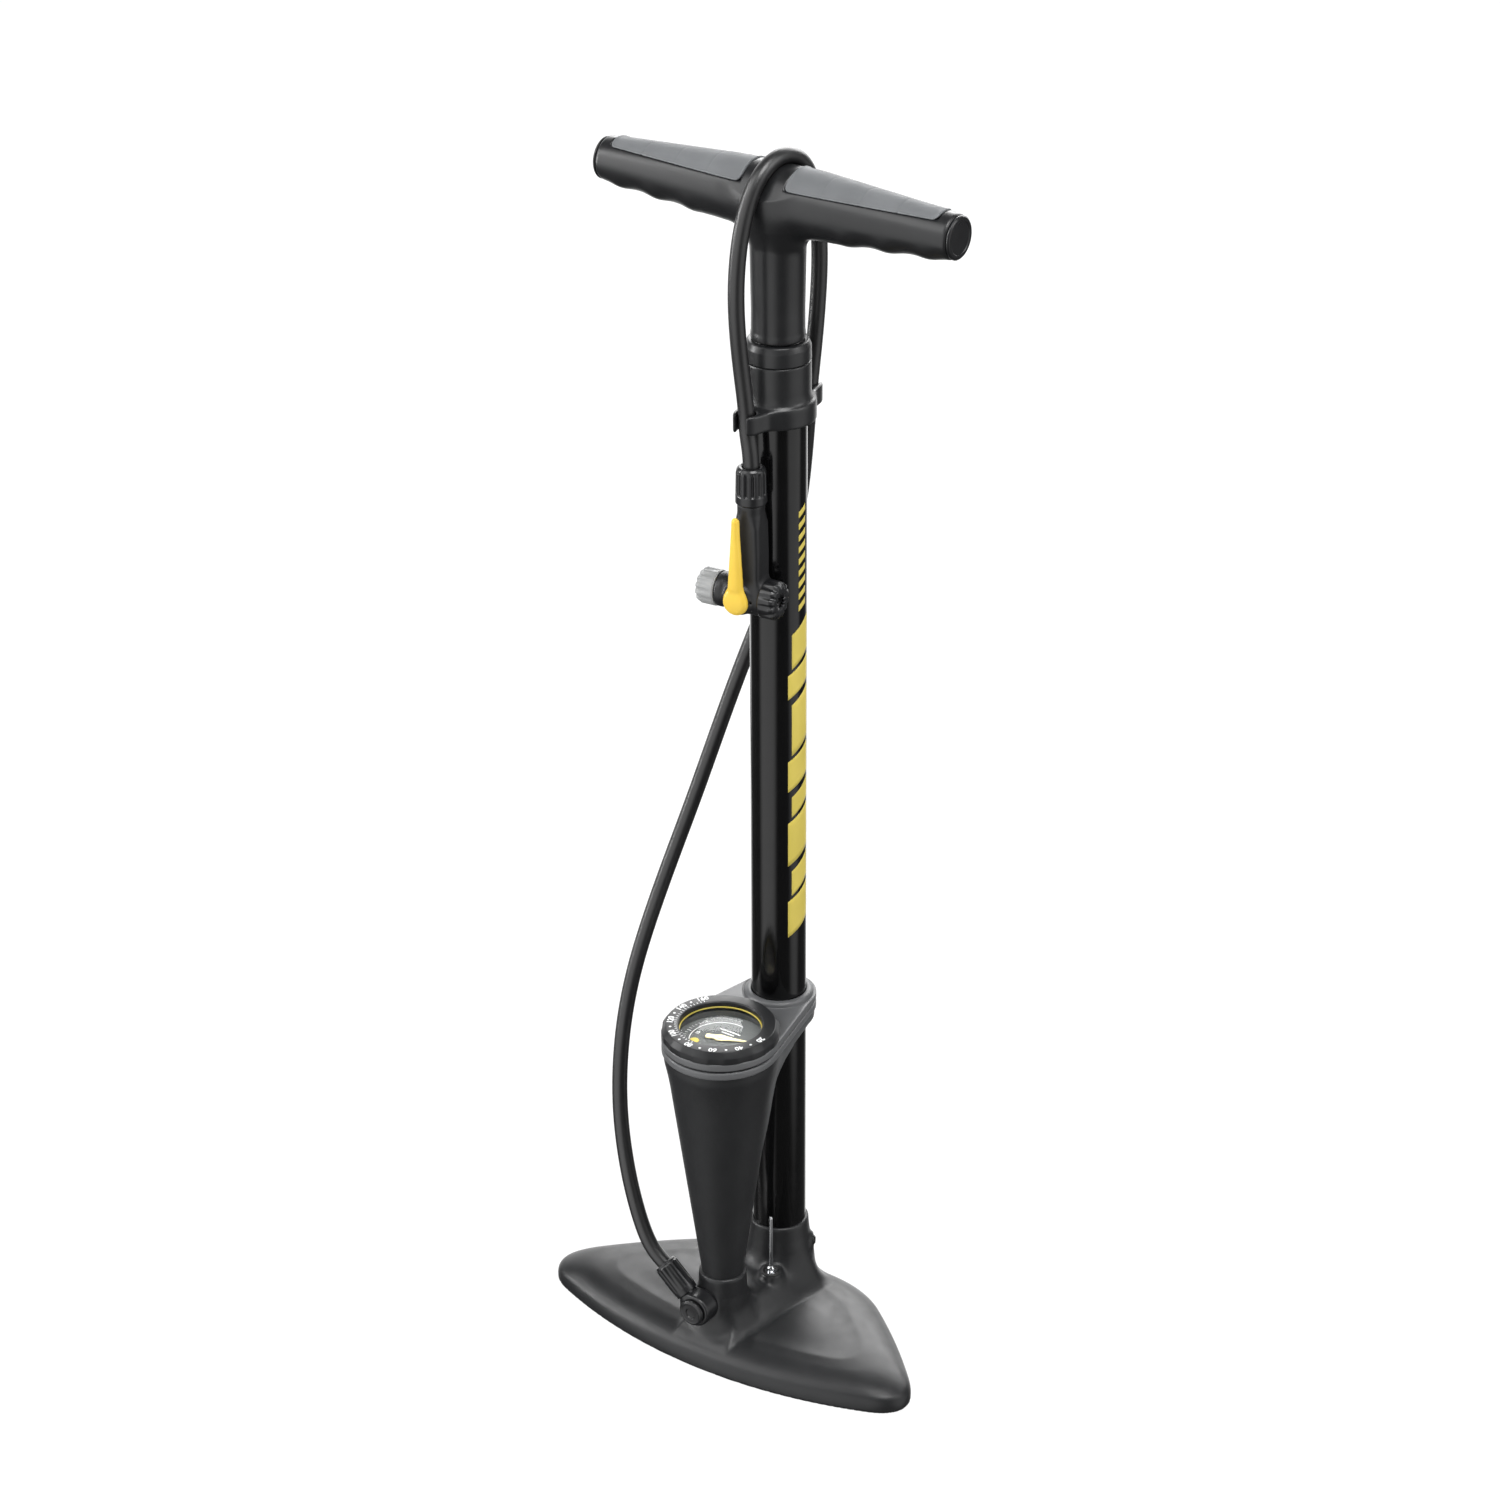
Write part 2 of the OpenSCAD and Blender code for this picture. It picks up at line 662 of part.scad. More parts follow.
// ---------- hose ----------

elbow_y = -(seat_y + seal_t + elbow_len / 2);
nut_dir = [-cos(elbow_angle), 0, sin(elbow_angle)];
hose_start = [elbow_x, elbow_y, elbow_z] + (base_nut_to - hose_end) * nut_dir;
head_nut_top = head_pos + [0, 0, nut_foot_h + nut_h_head];

// From the base hose nut, up behind the barrel, over the handle and down to the head.
hose_route = concat([hose_start, hose_start + hose_end * nut_dir], [
    [-36, -74, 61], [-46, -71, 77], [-56, -66, 97], [-64.7, -59.8, 120], [-71.2, -52.4, 145],
    [-75, -42.6, 175], [-74.8, -32.1, 205], [-71.4, -20.2, 235], [-65, -8.9, 268], [-57.1, 1.4, 302],
    [-49.5, 10.7, 336], [-41.1, 18.6, 370], [-31, 26, 405], [-19, 31, 440], [-9, 32, 475],
    [-3, 29, 510], [1.8, 25.4, 541], [2.5, 25.5, 552], [3.6, 28, 575], [4.4, 30, 600],
    [4.8, 30.5, 622], [4.6, 28.5, 643], [4, 24, 661], [3, 16, 674.5], [1.5, 1, 680.5],
    [0, -15, 675], [-2, -23.6, 661], [-3.8, -28, 643], [-4.6, -30.2, 622],
    [-4.6, -29.8, 600], [-3.6, -27.6, 575], [-1.9, -25.4, 552], [-1.8, -25.4, 541]
], [head_nut_top + [0, 0, 6], head_nut_top - [0, 0, hose_end]]);

function spline(a, b, c, d, t) =
    0.5 * (2 * b + (c - a) * t + (2 * a - 5 * b + 4 * c - d) * t * t + (3 * b - a - 3 * c + d) * t * t * t);

// Points along a smooth curve through the route, with steps points to each stretch.
function along(route, steps) = let (last = len(route) - 1)
    [for (i = [0 : last - 1]) for (s = [0 : steps - 1])
        spline(route[max(i - 1, 0)], route[i], route[i + 1], route[min(i + 2, last)], s / steps),
     route[last]];

// A round tube swept along a line of points, its rings turned as little as possible.
module sweep(line, r, sides) {
    last = len(line) - 1;
    dirs = [for (i = [0 : last])
        let (d = line[min(i + 1, last)] - line[max(i - 1, 0)]) d / norm(d)];
    function carry(side, dir) = let (flat = side - (side * dir) * dir) flat / norm(flat);
    sides_of = [for (i = 0, side = carry([0, 1, 0], dirs[0]); i <= last;
                     i = i + 1, side = i <= last ? carry(side, dirs[i]) : side) side];
    points = [for (i = [0 : last]) for (k = [0 : sides - 1])
        line[i] + r * (cos(360 * k / sides) * sides_of[i]
                       + sin(360 * k / sides) * cross(dirs[i], sides_of[i]))];
    polyhedron(points, concat(
        [[for (k = [sides - 1 : -1 : 0]) k]],
        [for (i = [0 : last - 1]) for (k = [0 : sides - 1])
            [i * sides + k, i * sides + (k + 1) % sides, (i + 1) * sides + (k + 1) % sides]],
        [for (i = [0 : last - 1]) for (k = [0 : sides - 1])
            [i * sides + k, (i + 1) * sides + (k + 1) % sides, (i + 1) * sides + k]],
        [[for (k = [0 : sides - 1]) last * sides + k]]));
}

module hose() color(black) sweep(along(hose_route, 2), hose_d / 2, 10);

// ---------- twin valve head ----------

module at_head() translate(head_pos) rotate([0, 0, head_turn]) children();

module head_hose_nut() color(black) at_head() difference() {
    rod(head_nut_r, nut_foot_h, nut_foot_h + nut_h_head);
    rod(hose_d / 2 + gap, nut_foot_h + nut_h_head - hose_end, nut_foot_h + nut_h_head + 1);
    rod(4.6 + fit, nut_foot_h - 1, nut_foot_h + 8);
    rod(2, nut_foot_h, nut_foot_h + nut_h_head);
    rib_cuts(head_nut_r, nut_foot_h + 4, nut_foot_h + nut_h_head - 2, 14, 1.4, 0.7);
}

module head_body() color(black) at_head() difference() {
    union() {
        rod(stem_r, 0, nut_foot_h);
        rod(4.6, nut_foot_h - 1, nut_foot_h + 7.5);
        face_right() rod(cross_r, cross_left, cross_right);
        translate([pivot_x, 0, 0]) face_front() rod(cross_r - 0.6, -cross_r, lever_face - gap);
        face_right() rod(7, cap_left_end + 3, cross_left + 1);
        face_right() rod(7, cross_right - 1, cap_right_end - 3);
    }
    face_right() rod(cross_bore, cap_left_end, cap_right_end);
    translate([pivot_x, 0, 0]) face_front() rod(shaft_r + fit, -cross_r + 2, lever_face);
    rod(1.6, cross_bore - 1, nut_foot_h + 9);
}

module lock_lever() color(yellow) at_head() translate([pivot_x, -lever_face, 0]) difference() {
    union() {
        face_front() rod(hub_r, 0, lever_t);
        face_front() linear_extrude(lever_t)
            polygon([[-4.6, 0], [4.6, 0], [2, lever_len - 1.5], [1, lever_len],
                     [-1, lever_len], [-2, lever_len - 1.5]]);
    }
    face_front() rod(shaft_r + fit, -1, 2.5);
}

module lever_shaft() color(steel) at_head() translate([pivot_x, 0, 0])
    face_front() rod(shaft_r, -cross_r + 2.2, lever_face + 2.4);

pusher_r = cross_bore - gap;
pusher_travel = 1.5;

// The pusher straddles the lever's shaft, with room for its travel, and stops short of both seals.
module valve_pusher() color(mid_grey) at_head() difference() {
    face_right() rod(pusher_r, cross_left + pusher_travel, cross_right - 1 - gap - pusher_travel);
    face_right() rod(1.5, cross_left, cross_right);
    translate([pivot_x, 0, 0]) face_front()
        linear_extrude(4 * pusher_r, center = true)
            square([2 * (shaft_r + pusher_travel + gap), 2 * (shaft_r + gap)], center = true);
}

module left_valve_seal() color(rubber) at_head() face_right()
    tube(cross_bore - fit, left_port_r, cap_left_end + 2.2, cross_left - 0.2);

module right_valve_seal() color(rubber) at_head() face_right()
    tube(cross_bore - fit, right_port_r, cross_right - 1, cap_right_end - 2.2);

// A screw cap over the end of the cross tube, with its mouth at +Z.
module valve_cap(r, len, mouth_r, count) difference() {
    turned([[0, 0], [r, 0], [r, len - 1.6], [r - 1.4, len], [0, len]]);
    rod(7 + fit, -1, len - 2);
    rod(mouth_r, 0, len + 1);
    rib_cuts(r, 1.2, len + 1, count, 1.8, 0.9);
}

module left_valve_cap() color(mid_grey) at_head() translate([cross_left, 0, 0])
    rotate([0, -90, 0]) valve_cap(cap_left_r, cross_left - cap_left_end, 4.4, 16);

module right_valve_cap() color(black) at_head() translate([cross_right, 0, 0])
    face_right() valve_cap(cap_right_r, cap_right_end - cross_right, 4.4, 12);

// ---------- top of the barrel ----------

module hose_clip() color(charcoal) difference() {
    union() {
        rod(clip_r, clip_foot, clip_top);
        turned([[0, clip_foot], [clip_r + 2.6, clip_foot], [clip_r + 2.6, clip_foot + 6],
                [clip_r, clip_foot + hook_h + 2], [0, clip_foot + hook_h + 2]]);
        for (angle = [hook_turn - 90, hook_turn + 90])
            rotate([0, 0, angle]) {
                translate([hook_reach, 0, 0])
                    rod(hose_d / 2 + 0.5 + hook_wall, clip_foot, clip_foot + hook_h);
                translate([clip_r - 1, -hose_d / 2, clip_foot])
                    cube([hook_reach - clip_r, hose_d, hook_h]);
            }
    }
    rod(barrel_r + fit, clip_foot - 1, clip_top + 1);
    for (angle = [hook_turn - 90, hook_turn + 90])
        rotate([0, 0, angle]) translate([hook_reach, 0, 0]) {
            rod(hose_d / 2 + 0.5, clip_foot - 1, clip_foot + hook_h + 1);
            translate([0, -hook_mouth / 2, clip_foot - 1]) cube([20, hook_mouth, hook_h + 2]);
        }
}

module barrel_cap() color(charcoal)
    turned([[bushing_r + fit, barrel_top - spigot_len], [bore_r - fit, barrel_top - spigot_len],
            [bore_r - fit, barrel_top], [barrel_r, barrel_top], [barrel_r, clip_top],
            [clip_r, clip_top], [clip_r, cap_top - 2.5], [clip_r - 0.8, cap_top - 0.8],
            [clip_r - 2.5, cap_top], [wiper_r + fit, cap_top],
            [wiper_r + fit, cap_top - wiper_h], [bushing_r + fit, cap_top - wiper_h]]);

module rod_bushing() color(mid_grey)
    tube(bushing_r, rod_d / 2 + fit, barrel_top - spigot_len, cap_top - wiper_h);

module rod_wiper() color(rubber)
    tube(wiper_r, rod_d / 2 + fit, cap_top - wiper_h + fit, cap_top - 0.4);

// ---------- handle ----------

half_handle = handle_len / 2;
half_mid = handle_mid_len / 2;

// The grip as a solid of revolution along X, its skin moved out by grow.
module grip(grow, half)
    face_right() turned([[0, -half], [handle_end_r + grow, -half], [handle_mid_r + grow, -half_mid],
                         [handle_mid_r + grow, half_mid], [handle_end_r + grow, half], [0, half]]);

// The space above the handle in which one pad lies, made wider by grow.
module pad_window(side, grow)
    translate([side > 0 ? pad_from - grow : -pad_to - grow, -20, handle_z + 9.5 - grow])
        cube([pad_to - pad_from + 2 * grow, 40, 20]);

module handle_core() color(charcoal) difference() {
    union() {
        translate([0, 0, handle_z]) difference() {
            grip(0, half_handle);
            for (side = [-1, 1]) face_right()
                rod(end_plug_r + fit, side > 0 ? half_handle - plug_in : -half_handle - 1,
                    side > 0 ? half_handle + 1 : plug_in - half_handle);
        }
        rod(neck_r, neck_foot, handle_z);
        turned([[0, handle_z - 24], [neck_r, handle_z - 24], [neck_r + 2.4, handle_z - 14],
                [0, handle_z - 14]]);
    }
    for (side = [-1, 1]) difference() {
        pad_window(side, fit);
        translate([0, 0, handle_z]) grip(-pad_t - fit, half_handle);
    }
    rod(rod_d / 2 + fit, neck_foot - 1, rod_top + fit);
    rod(insert_r + fit, rod_top - insert_h - 2, rod_top - 2);
}

module grip_pad(side) difference() {
    intersection() {
        translate([0, 0, handle_z]) grip(0.3, half_handle);
        pad_window(side, 0);
    }
    translate([0, 0, handle_z]) grip(-pad_t, half_handle);
}

module grip_pad_left() color(pad_grey) grip_pad(-1);

module grip_pad_right() color(pad_grey) grip_pad(1);

// A plug in the handle's end, its head at +Z.
module end_plug() {
    rod(end_plug_r, -plug_in + 0.5, 0.5);
    turned([[0, 0.2], [handle_end_r - 0.6, 0.2], [handle_end_r - 0.6, 1], [handle_end_r - 2, 1.8],
            [0, 1.8]]);
}

module end_plug_left() color(charcoal)
    translate([-half_handle, 0, handle_z]) rotate([0, -90, 0]) end_plug();

module end_plug_right() color(charcoal)
    translate([half_handle, 0, handle_z]) face_right() end_plug();

module rod_insert() color(brass)
    tube(insert_r, rod_d / 2 + fit, rod_top - insert_h - 2, rod_top - 2 - fit);

// ---------- piston ----------

module piston_rod() color(steel) {
    tube(rod_d / 2, rod_d / 2 - rod_wall, piston_foot + piston_h, rod_top);
    rod(rod_d / 2, piston_foot + piston_h, piston_foot + piston_h + 10);
    rod(stud_r, nut_foot - 0.5, piston_foot + piston_h + 1);
}

module rod_bumper() color(rubber)
    tube(10, rod_d / 2 + fit, piston_foot + piston_h, piston_foot + piston_h + bumper_h);

module piston_head() color(black)
    turned([[stud_r + fit, piston_foot], [bore_r - gap, piston_foot],
            [bore_r - gap, piston_foot + 4], [bore_r - 3, piston_foot + 4],
            [bore_r - 3, piston_foot + 9], [bore_r - gap, piston_foot + 9],
            [bore_r - gap, piston_foot + piston_h], [stud_r + fit, piston_foot + piston_h]]);

module piston_seal() color(rubber)
    tube(bore_r - fit, bore_r - 3 + fit, piston_foot + 4 + fit, piston_foot + 9 - fit);

module piston_washer() color(steel)
    tube(8, stud_r + fit, piston_foot - washer_t, piston_foot);

module piston_nut() color(steel) difference() {
    rod(5.5, nut_foot, nut_foot + nut_h, $fn = 6);
    rod(stud_r + fit, nut_foot - 1, nut_foot + nut_h + 1);
}

// ---------- ball needle ----------

module at_bush() translate([bush_pos[0], bush_pos[1], 0]) children();

module needle_bush() color(steel) at_bush()
    turned([[ball_needle_d / 2 + 0.9, bush_top - 11], [bush_r, bush_top - 11], [bush_r, bush_top],
            [bush_r + 1, bush_top], [bush_r + 1, bush_top + 0.6],
            [ball_needle_d / 2 + 0.9, bush_top + 0.6]]);

module ball_needle() color(steel) at_bush() {
    rod(ball_needle_d / 2 + 0.85, bush_top - 9, bush_top + 1.6);
    rod(ball_needle_d / 2, bush_top + 1, bush_top + ball_needle_len);
}

base_shell();
socket_screws();
barrel();
foot_plug();
foot_oring();
valve_retainer();
check_valve_poppet();
check_valve_spring();
air_duct();
manifold();
gauge_feed_tube();
gauge_post();
bracket_lower();
bracket_gasket();
bracket_upper();
gauge_case();
bourdon_tube();
movement_plate();
dial_face();
gauge_bezel();
dial_ring();
gauge_lens();
gauge_needle();
needle_spindle();
elbow();
banjo_bolt();
banjo_seals();
base_hose_nut();
hose();
head_hose_nut();
head_body();
lock_lever();
lever_shaft();
valve_pusher();
left_valve_seal();
left_valve_cap();
right_valve_seal();
right_valve_cap();
hose_clip();
barrel_cap();
rod_bushing();
rod_wiper();
handle_core();
grip_pad_left();
grip_pad_right();
end_plug_left();
end_plug_right();
rod_insert();
piston_rod();
rod_bumper();
piston_head();
piston_seal();
piston_washer();
piston_nut();
ball_needle();
needle_bush();
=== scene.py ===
import json
import math

import bpy
import numpy as np
from mathutils import Matrix, Vector


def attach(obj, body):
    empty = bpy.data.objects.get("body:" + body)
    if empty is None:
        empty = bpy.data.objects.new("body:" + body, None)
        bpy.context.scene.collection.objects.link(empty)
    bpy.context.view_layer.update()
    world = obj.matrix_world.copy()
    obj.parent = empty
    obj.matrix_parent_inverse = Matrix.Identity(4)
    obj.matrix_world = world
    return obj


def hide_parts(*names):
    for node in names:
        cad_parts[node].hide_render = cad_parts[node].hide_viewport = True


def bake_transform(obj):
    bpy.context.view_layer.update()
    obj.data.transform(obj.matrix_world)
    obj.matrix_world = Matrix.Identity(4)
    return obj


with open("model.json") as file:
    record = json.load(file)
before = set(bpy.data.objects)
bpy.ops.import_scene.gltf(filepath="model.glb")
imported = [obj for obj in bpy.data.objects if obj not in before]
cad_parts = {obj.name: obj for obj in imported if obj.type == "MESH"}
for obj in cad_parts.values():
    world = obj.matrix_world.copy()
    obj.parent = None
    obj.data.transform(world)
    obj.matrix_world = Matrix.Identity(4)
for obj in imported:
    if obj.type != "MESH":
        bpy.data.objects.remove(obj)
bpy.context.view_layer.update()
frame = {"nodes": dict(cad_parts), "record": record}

MM = 0.001
X, Y, Z = np.eye(3)


# ---- camera and light

SENSOR = 36
FARTHEST = 60


def look(azimuth, elevation, roll, target, distance, lens):
    """The camera. Angles in degrees, target and distance in millimetres."""
    a, e, r = (math.radians(v) for v in (azimuth, elevation, roll))
    back = Vector((math.sin(a) * math.cos(e), -math.cos(a) * math.cos(e), math.sin(e)))
    right = Vector((math.cos(a), math.sin(a), 0))
    up = back.cross(right)
    side = math.cos(r) * right + math.sin(r) * up
    top = math.cos(r) * up - math.sin(r) * right
    data = bpy.data.cameras.new("camera")
    data.lens = lens
    data.sensor_width = SENSOR
    data.clip_end = FARTHEST
    camera = bpy.data.objects.new("camera", data)
    bpy.context.scene.collection.objects.link(camera)
    camera.matrix_world = Matrix((side, top, back)).transposed().to_4x4()
    camera.location = (Vector(target) + back * distance) * MM
    bpy.context.scene.camera = camera


look(azimuth=34.7, elevation=27.59, roll=-0.28, target=(-12.43, -8.61, 349.9), distance=2119.9,
     lens=96)

# Area lights: name, place, size and power. They all face the pump's middle.
MIDDLE = Vector((0, 0, 0.33))
LIGHTS = (
    ("back", (-0.6, 2.2, 1.35), (2.4, 0.9), 44),
    ("top", (0.8, -0.4, 2.3), (1.0, 1.0), 34),
    ("fill", (-0.9, -1.5, 2.3), (1.3, 1.3), 19),
    ("key", (-1.6, -0.9, 0.9), (0.25, 1.6), 27),
    ("right", (1.5, 0.5, 1.5), (0.7, 0.9), 8),
    ("edge", (-0.45, 2.2, 2.2), (0.9, 0.3), 5),
)
# Soft panels in the dim surroundings: direction, where the panel fades in and is full, brightness.
PANELS = (
    ((-0.18, -0.98, 0.0), 0.66, 0.84, 1.30),
    ((0.98, 0.19, 0.0), 0.78, 0.88, 0.90),
    ((-0.57, 0.82, 0.0), 0.62, 0.88, 1.60),
)
SURROUNDINGS = 0.08


def area_light(name, position, size, power):
    data = bpy.data.lights.new(name, "AREA")
    data.shape = "RECTANGLE"
    data.size, data.size_y = size
    data.energy = power
    light = bpy.data.objects.new(name, data)
    bpy.context.scene.collection.objects.link(light)
    light.location = position
    light.rotation_euler = (MIDDLE - Vector(position)).to_track_quat("-Z", "Y").to_euler()


def add(tree, kind, **values):
    """A shader node, with its inputs and settings given by name."""
    node = tree.nodes.new(kind)
    for key, value in values.items():
        if key in node.inputs:
            node.inputs[key].default_value = value
        else:
            setattr(node, key, value)
    return node


def spread(tree, source, low, high, between=(0.3, 0.7), **how):
    """Maps a number that lies between two others to the range from low to high."""
    ends = {"From Min": between[0], "From Max": between[1], "To Min": low, "To Max": high}
    node = add(tree, "ShaderNodeMapRange", **ends, **how)
    tree.links.new(source, node.inputs["Value"])
    return node.outputs["Result"]


def surroundings(tree):
    direction = tree.nodes.new("ShaderNodeTexCoord").outputs["Generated"]
    total = None
    for toward, start, full, brightness in PANELS:
        facing = add(tree, "ShaderNodeVectorMath", operation="DOT_PRODUCT")
        facing.inputs[1].default_value = toward
        tree.links.new(direction, facing.inputs[0])
        panel = spread(tree, facing.outputs["Value"], 0, brightness, (start, full),
                       interpolation_type="SMOOTHSTEP")
        plus = tree.nodes.new("ShaderNodeMath")
        plus.inputs[1].default_value = SURROUNDINGS
        tree.links.new(panel, plus.inputs[0])
        if total:
            tree.links.new(total, plus.inputs[1])
        total = plus.outputs[0]
    tree.links.new(total, tree.nodes["Background"].inputs["Strength"])


def studio():
    scene = bpy.context.scene
    scene.view_settings.view_transform = "Standard"
    scene.view_settings.look = "None"
    world = bpy.data.worlds.new("studio")
    scene.world = world
    world.use_nodes = True
    world.node_tree.nodes["Background"].inputs["Color"].default_value = (1, 1, 1, 1)
    surroundings(world.node_tree)
    for light in LIGHTS:
        area_light(*light)


studio()


# ---- meshes

def make(name, points, faces, body, finish, replaces=(), matrix=None, flat=False):
    """A piece from points in millimetres, on its body, with its finish's material; the finish's slot is not
    used.
    """
    slot, material = finish
    points = np.asarray(points, float)
    mesh = bpy.data.meshes.new(name)
    mesh.from_pydata((points * MM).tolist(), [], [list(map(int, f)) for f in faces])
    mesh.validate()
    mesh.update()
    mesh.polygons.foreach_set("use_smooth", [not flat] * len(mesh.polygons))
    piece = bpy.data.objects.new(name, mesh)
    bpy.context.scene.collection.objects.link(piece)
    if matrix is not None:
        mesh.transform(matrix)
    mesh.materials.append(material)
    if body:
        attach(piece, body)
    if replaces:
        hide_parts(*replaces)
    return piece


def axes(origin, z_axis, x_axis=(1, 0, 0)):
    """Puts a shape drawn about Z at origin, its Z along z_axis. Origin in millimetres."""
    z = Vector(z_axis).normalized()
    x = Vector(x_axis)
    x = (x - x.dot(z) * z).normalized()
    rotation = Matrix((x, z.cross(x), z)).transposed().to_4x4()
    return Matrix.Translation(Vector(origin) * MM) @ rotation


def rounded(corners, steps=5):
    """A profile of (radius, height, rounding) corners, each corner turned into an arc."""
    count = len(corners)
    line = []
    for i, (r, z, rounding) in enumerate(corners):
        here = np.array([r, z], float)
        if rounding <= 0 or i in (0, count - 1):
            line.append(here)
            continue
        before = np.array(corners[i - 1][:2], float) - here
        after = np.array(corners[i + 1][:2], float) - here
        a, b = np.linalg.norm(before), np.linalg.norm(after)
        before, after = before / a, after / b
        half = math.acos(np.clip(before @ after, -1, 1)) / 2
        cut = min(rounding / math.tan(half), 0.49 * a, 0.49 * b)
        for s in np.linspace(0, 1, steps + 1):
            # a quadratic arc is close enough to round at this size
            line.append(here + before * cut * (1 - s) ** 2 + after * cut * s ** 2)
    return np.array(line)


def turned(corners, sides=96, steps=5, wave=None):
    """Points and faces of a profile turned about Z. wave(angle, z) scales the radius."""
    line = rounded(corners, steps)
    angles = np.arange(sides) * 2 * math.pi / sides
    points, rows = [], []
    for r, z in line:
        if r < 1e-6:
            rows.append([len(points)])
            points.append((0, 0, z))
            continue
        rows.append(list(range(len(points), len(points) + sides)))
        rr = r * wave(angles, z, r) if wave else np.full(sides, r)
        points += list(zip(rr * np.cos(angles), rr * np.sin(angles), np.full(sides, z)))
    faces = []
    closed = line[0][0] > 1e-6 and line[-1][0] > 1e-6
    pairs = list(zip(rows, rows[1:] + ([rows[0]] if closed else [])))
    if not closed:
        pairs = pairs[:len(rows) - 1]
    for low, high in pairs:
        for i in range(sides):
            j = (i + 1) % sides
            if len(low) == 1 and len(high) == 1:
                continue
            if len(low) == 1:
                faces.append((low[0], high[j], high[i]))
            elif len(high) == 1:
                faces.append((low[i], low[j], high[0]))
            else:
                faces.append((low[i], low[j], high[j], high[i]))
    return np.array(points), faces


def fluted(count, depth, low, high, fade, sharp=0.5):
    """A wave for turned(): grooves between two heights, fading out at both ends."""
    def wave(angles, z, r):
        rise = np.clip(min((z - low) / fade, (high - z) / fade, 1.0), 0, 1)
        dip = np.clip((np.cos(angles * count) - sharp) / (1 - sharp), 0, 1)
        return 1 - depth / r * rise * dip ** 0.8
    return wave


def swept(line, radius, sides):
    """A round closed tube along a line of points, with its rings turned as little as possible."""
    line = np.asarray(line, float)
    ahead = np.gradient(line, axis=0)
    ahead /= np.linalg.norm(ahead, axis=1)[:, None]
    side = np.cross(ahead[0], Y)
    points = []
    turn = np.arange(sides) * 2 * math.pi / sides
    for here, way in zip(line, ahead):
        side = side - (side @ way) * way
        side /= np.linalg.norm(side)
        other = np.cross(way, side)
        points.append(here + radius * (np.cos(turn)[:, None] * side + np.sin(turn)[:, None] * other))
    points = np.concatenate(points)
    faces = []
    for i in range(len(line) - 1):
        for k in range(sides):
            j = (k + 1) % sides
            faces.append((i * sides + k, i * sides + j, (i + 1) * sides + j, (i + 1) * sides + k))
    faces.append(tuple(range(sides))[::-1])
    faces.append(tuple((len(line) - 1) * sides + k for k in range(sides)))
    return points, faces


def joined(parts):
    """Points and faces of several parts as one."""
    points, faces = [], []
    for some, more in parts:
        faces += [tuple(i + len(points) for i in face) for face in more]
        points += [tuple(v) for v in some]
    return points, faces


def lathe(name, corners, body, finish, replaces=(), at=None, flat=False, **how):
    """A piece turned about Z from its profile; how goes to turned()."""
    points, faces = turned(corners, **how)
    return make(name, points, faces, body, finish, replaces, at, flat)


# ---- shapes given by a distance

def soft_min(a, b, k):
    h = np.maximum(k - np.abs(a - b), 0) / k
    return np.minimum(a, b) - h * h * k / 4


def soft_max(a, b, k):
    return -soft_min(-a, -b, k)


def step_up(t):
    t = np.clip(t, 0, 1)
    return t * t * (3 - 2 * t)


def mix(a, b, t):
    return a + (b - a) * t


def off_axis(p, origin, axis):
    """Distance along an axis and away from it."""
    d = p - np.asarray(origin, float)
    along = d @ np.asarray(axis, float)
    return along, np.linalg.norm(d - along[:, None] * np.asarray(axis, float), axis=1)


def drum(p, origin, axis, radius, low, high, edge=1.0):
    """A cylinder with rounded edges. The radius may be one per point."""
    along, away = off_axis(p, origin, axis)
    return soft_max(away - radius, np.abs(along - (low + high) / 2) - (high - low) / 2, 2.5 * edge)


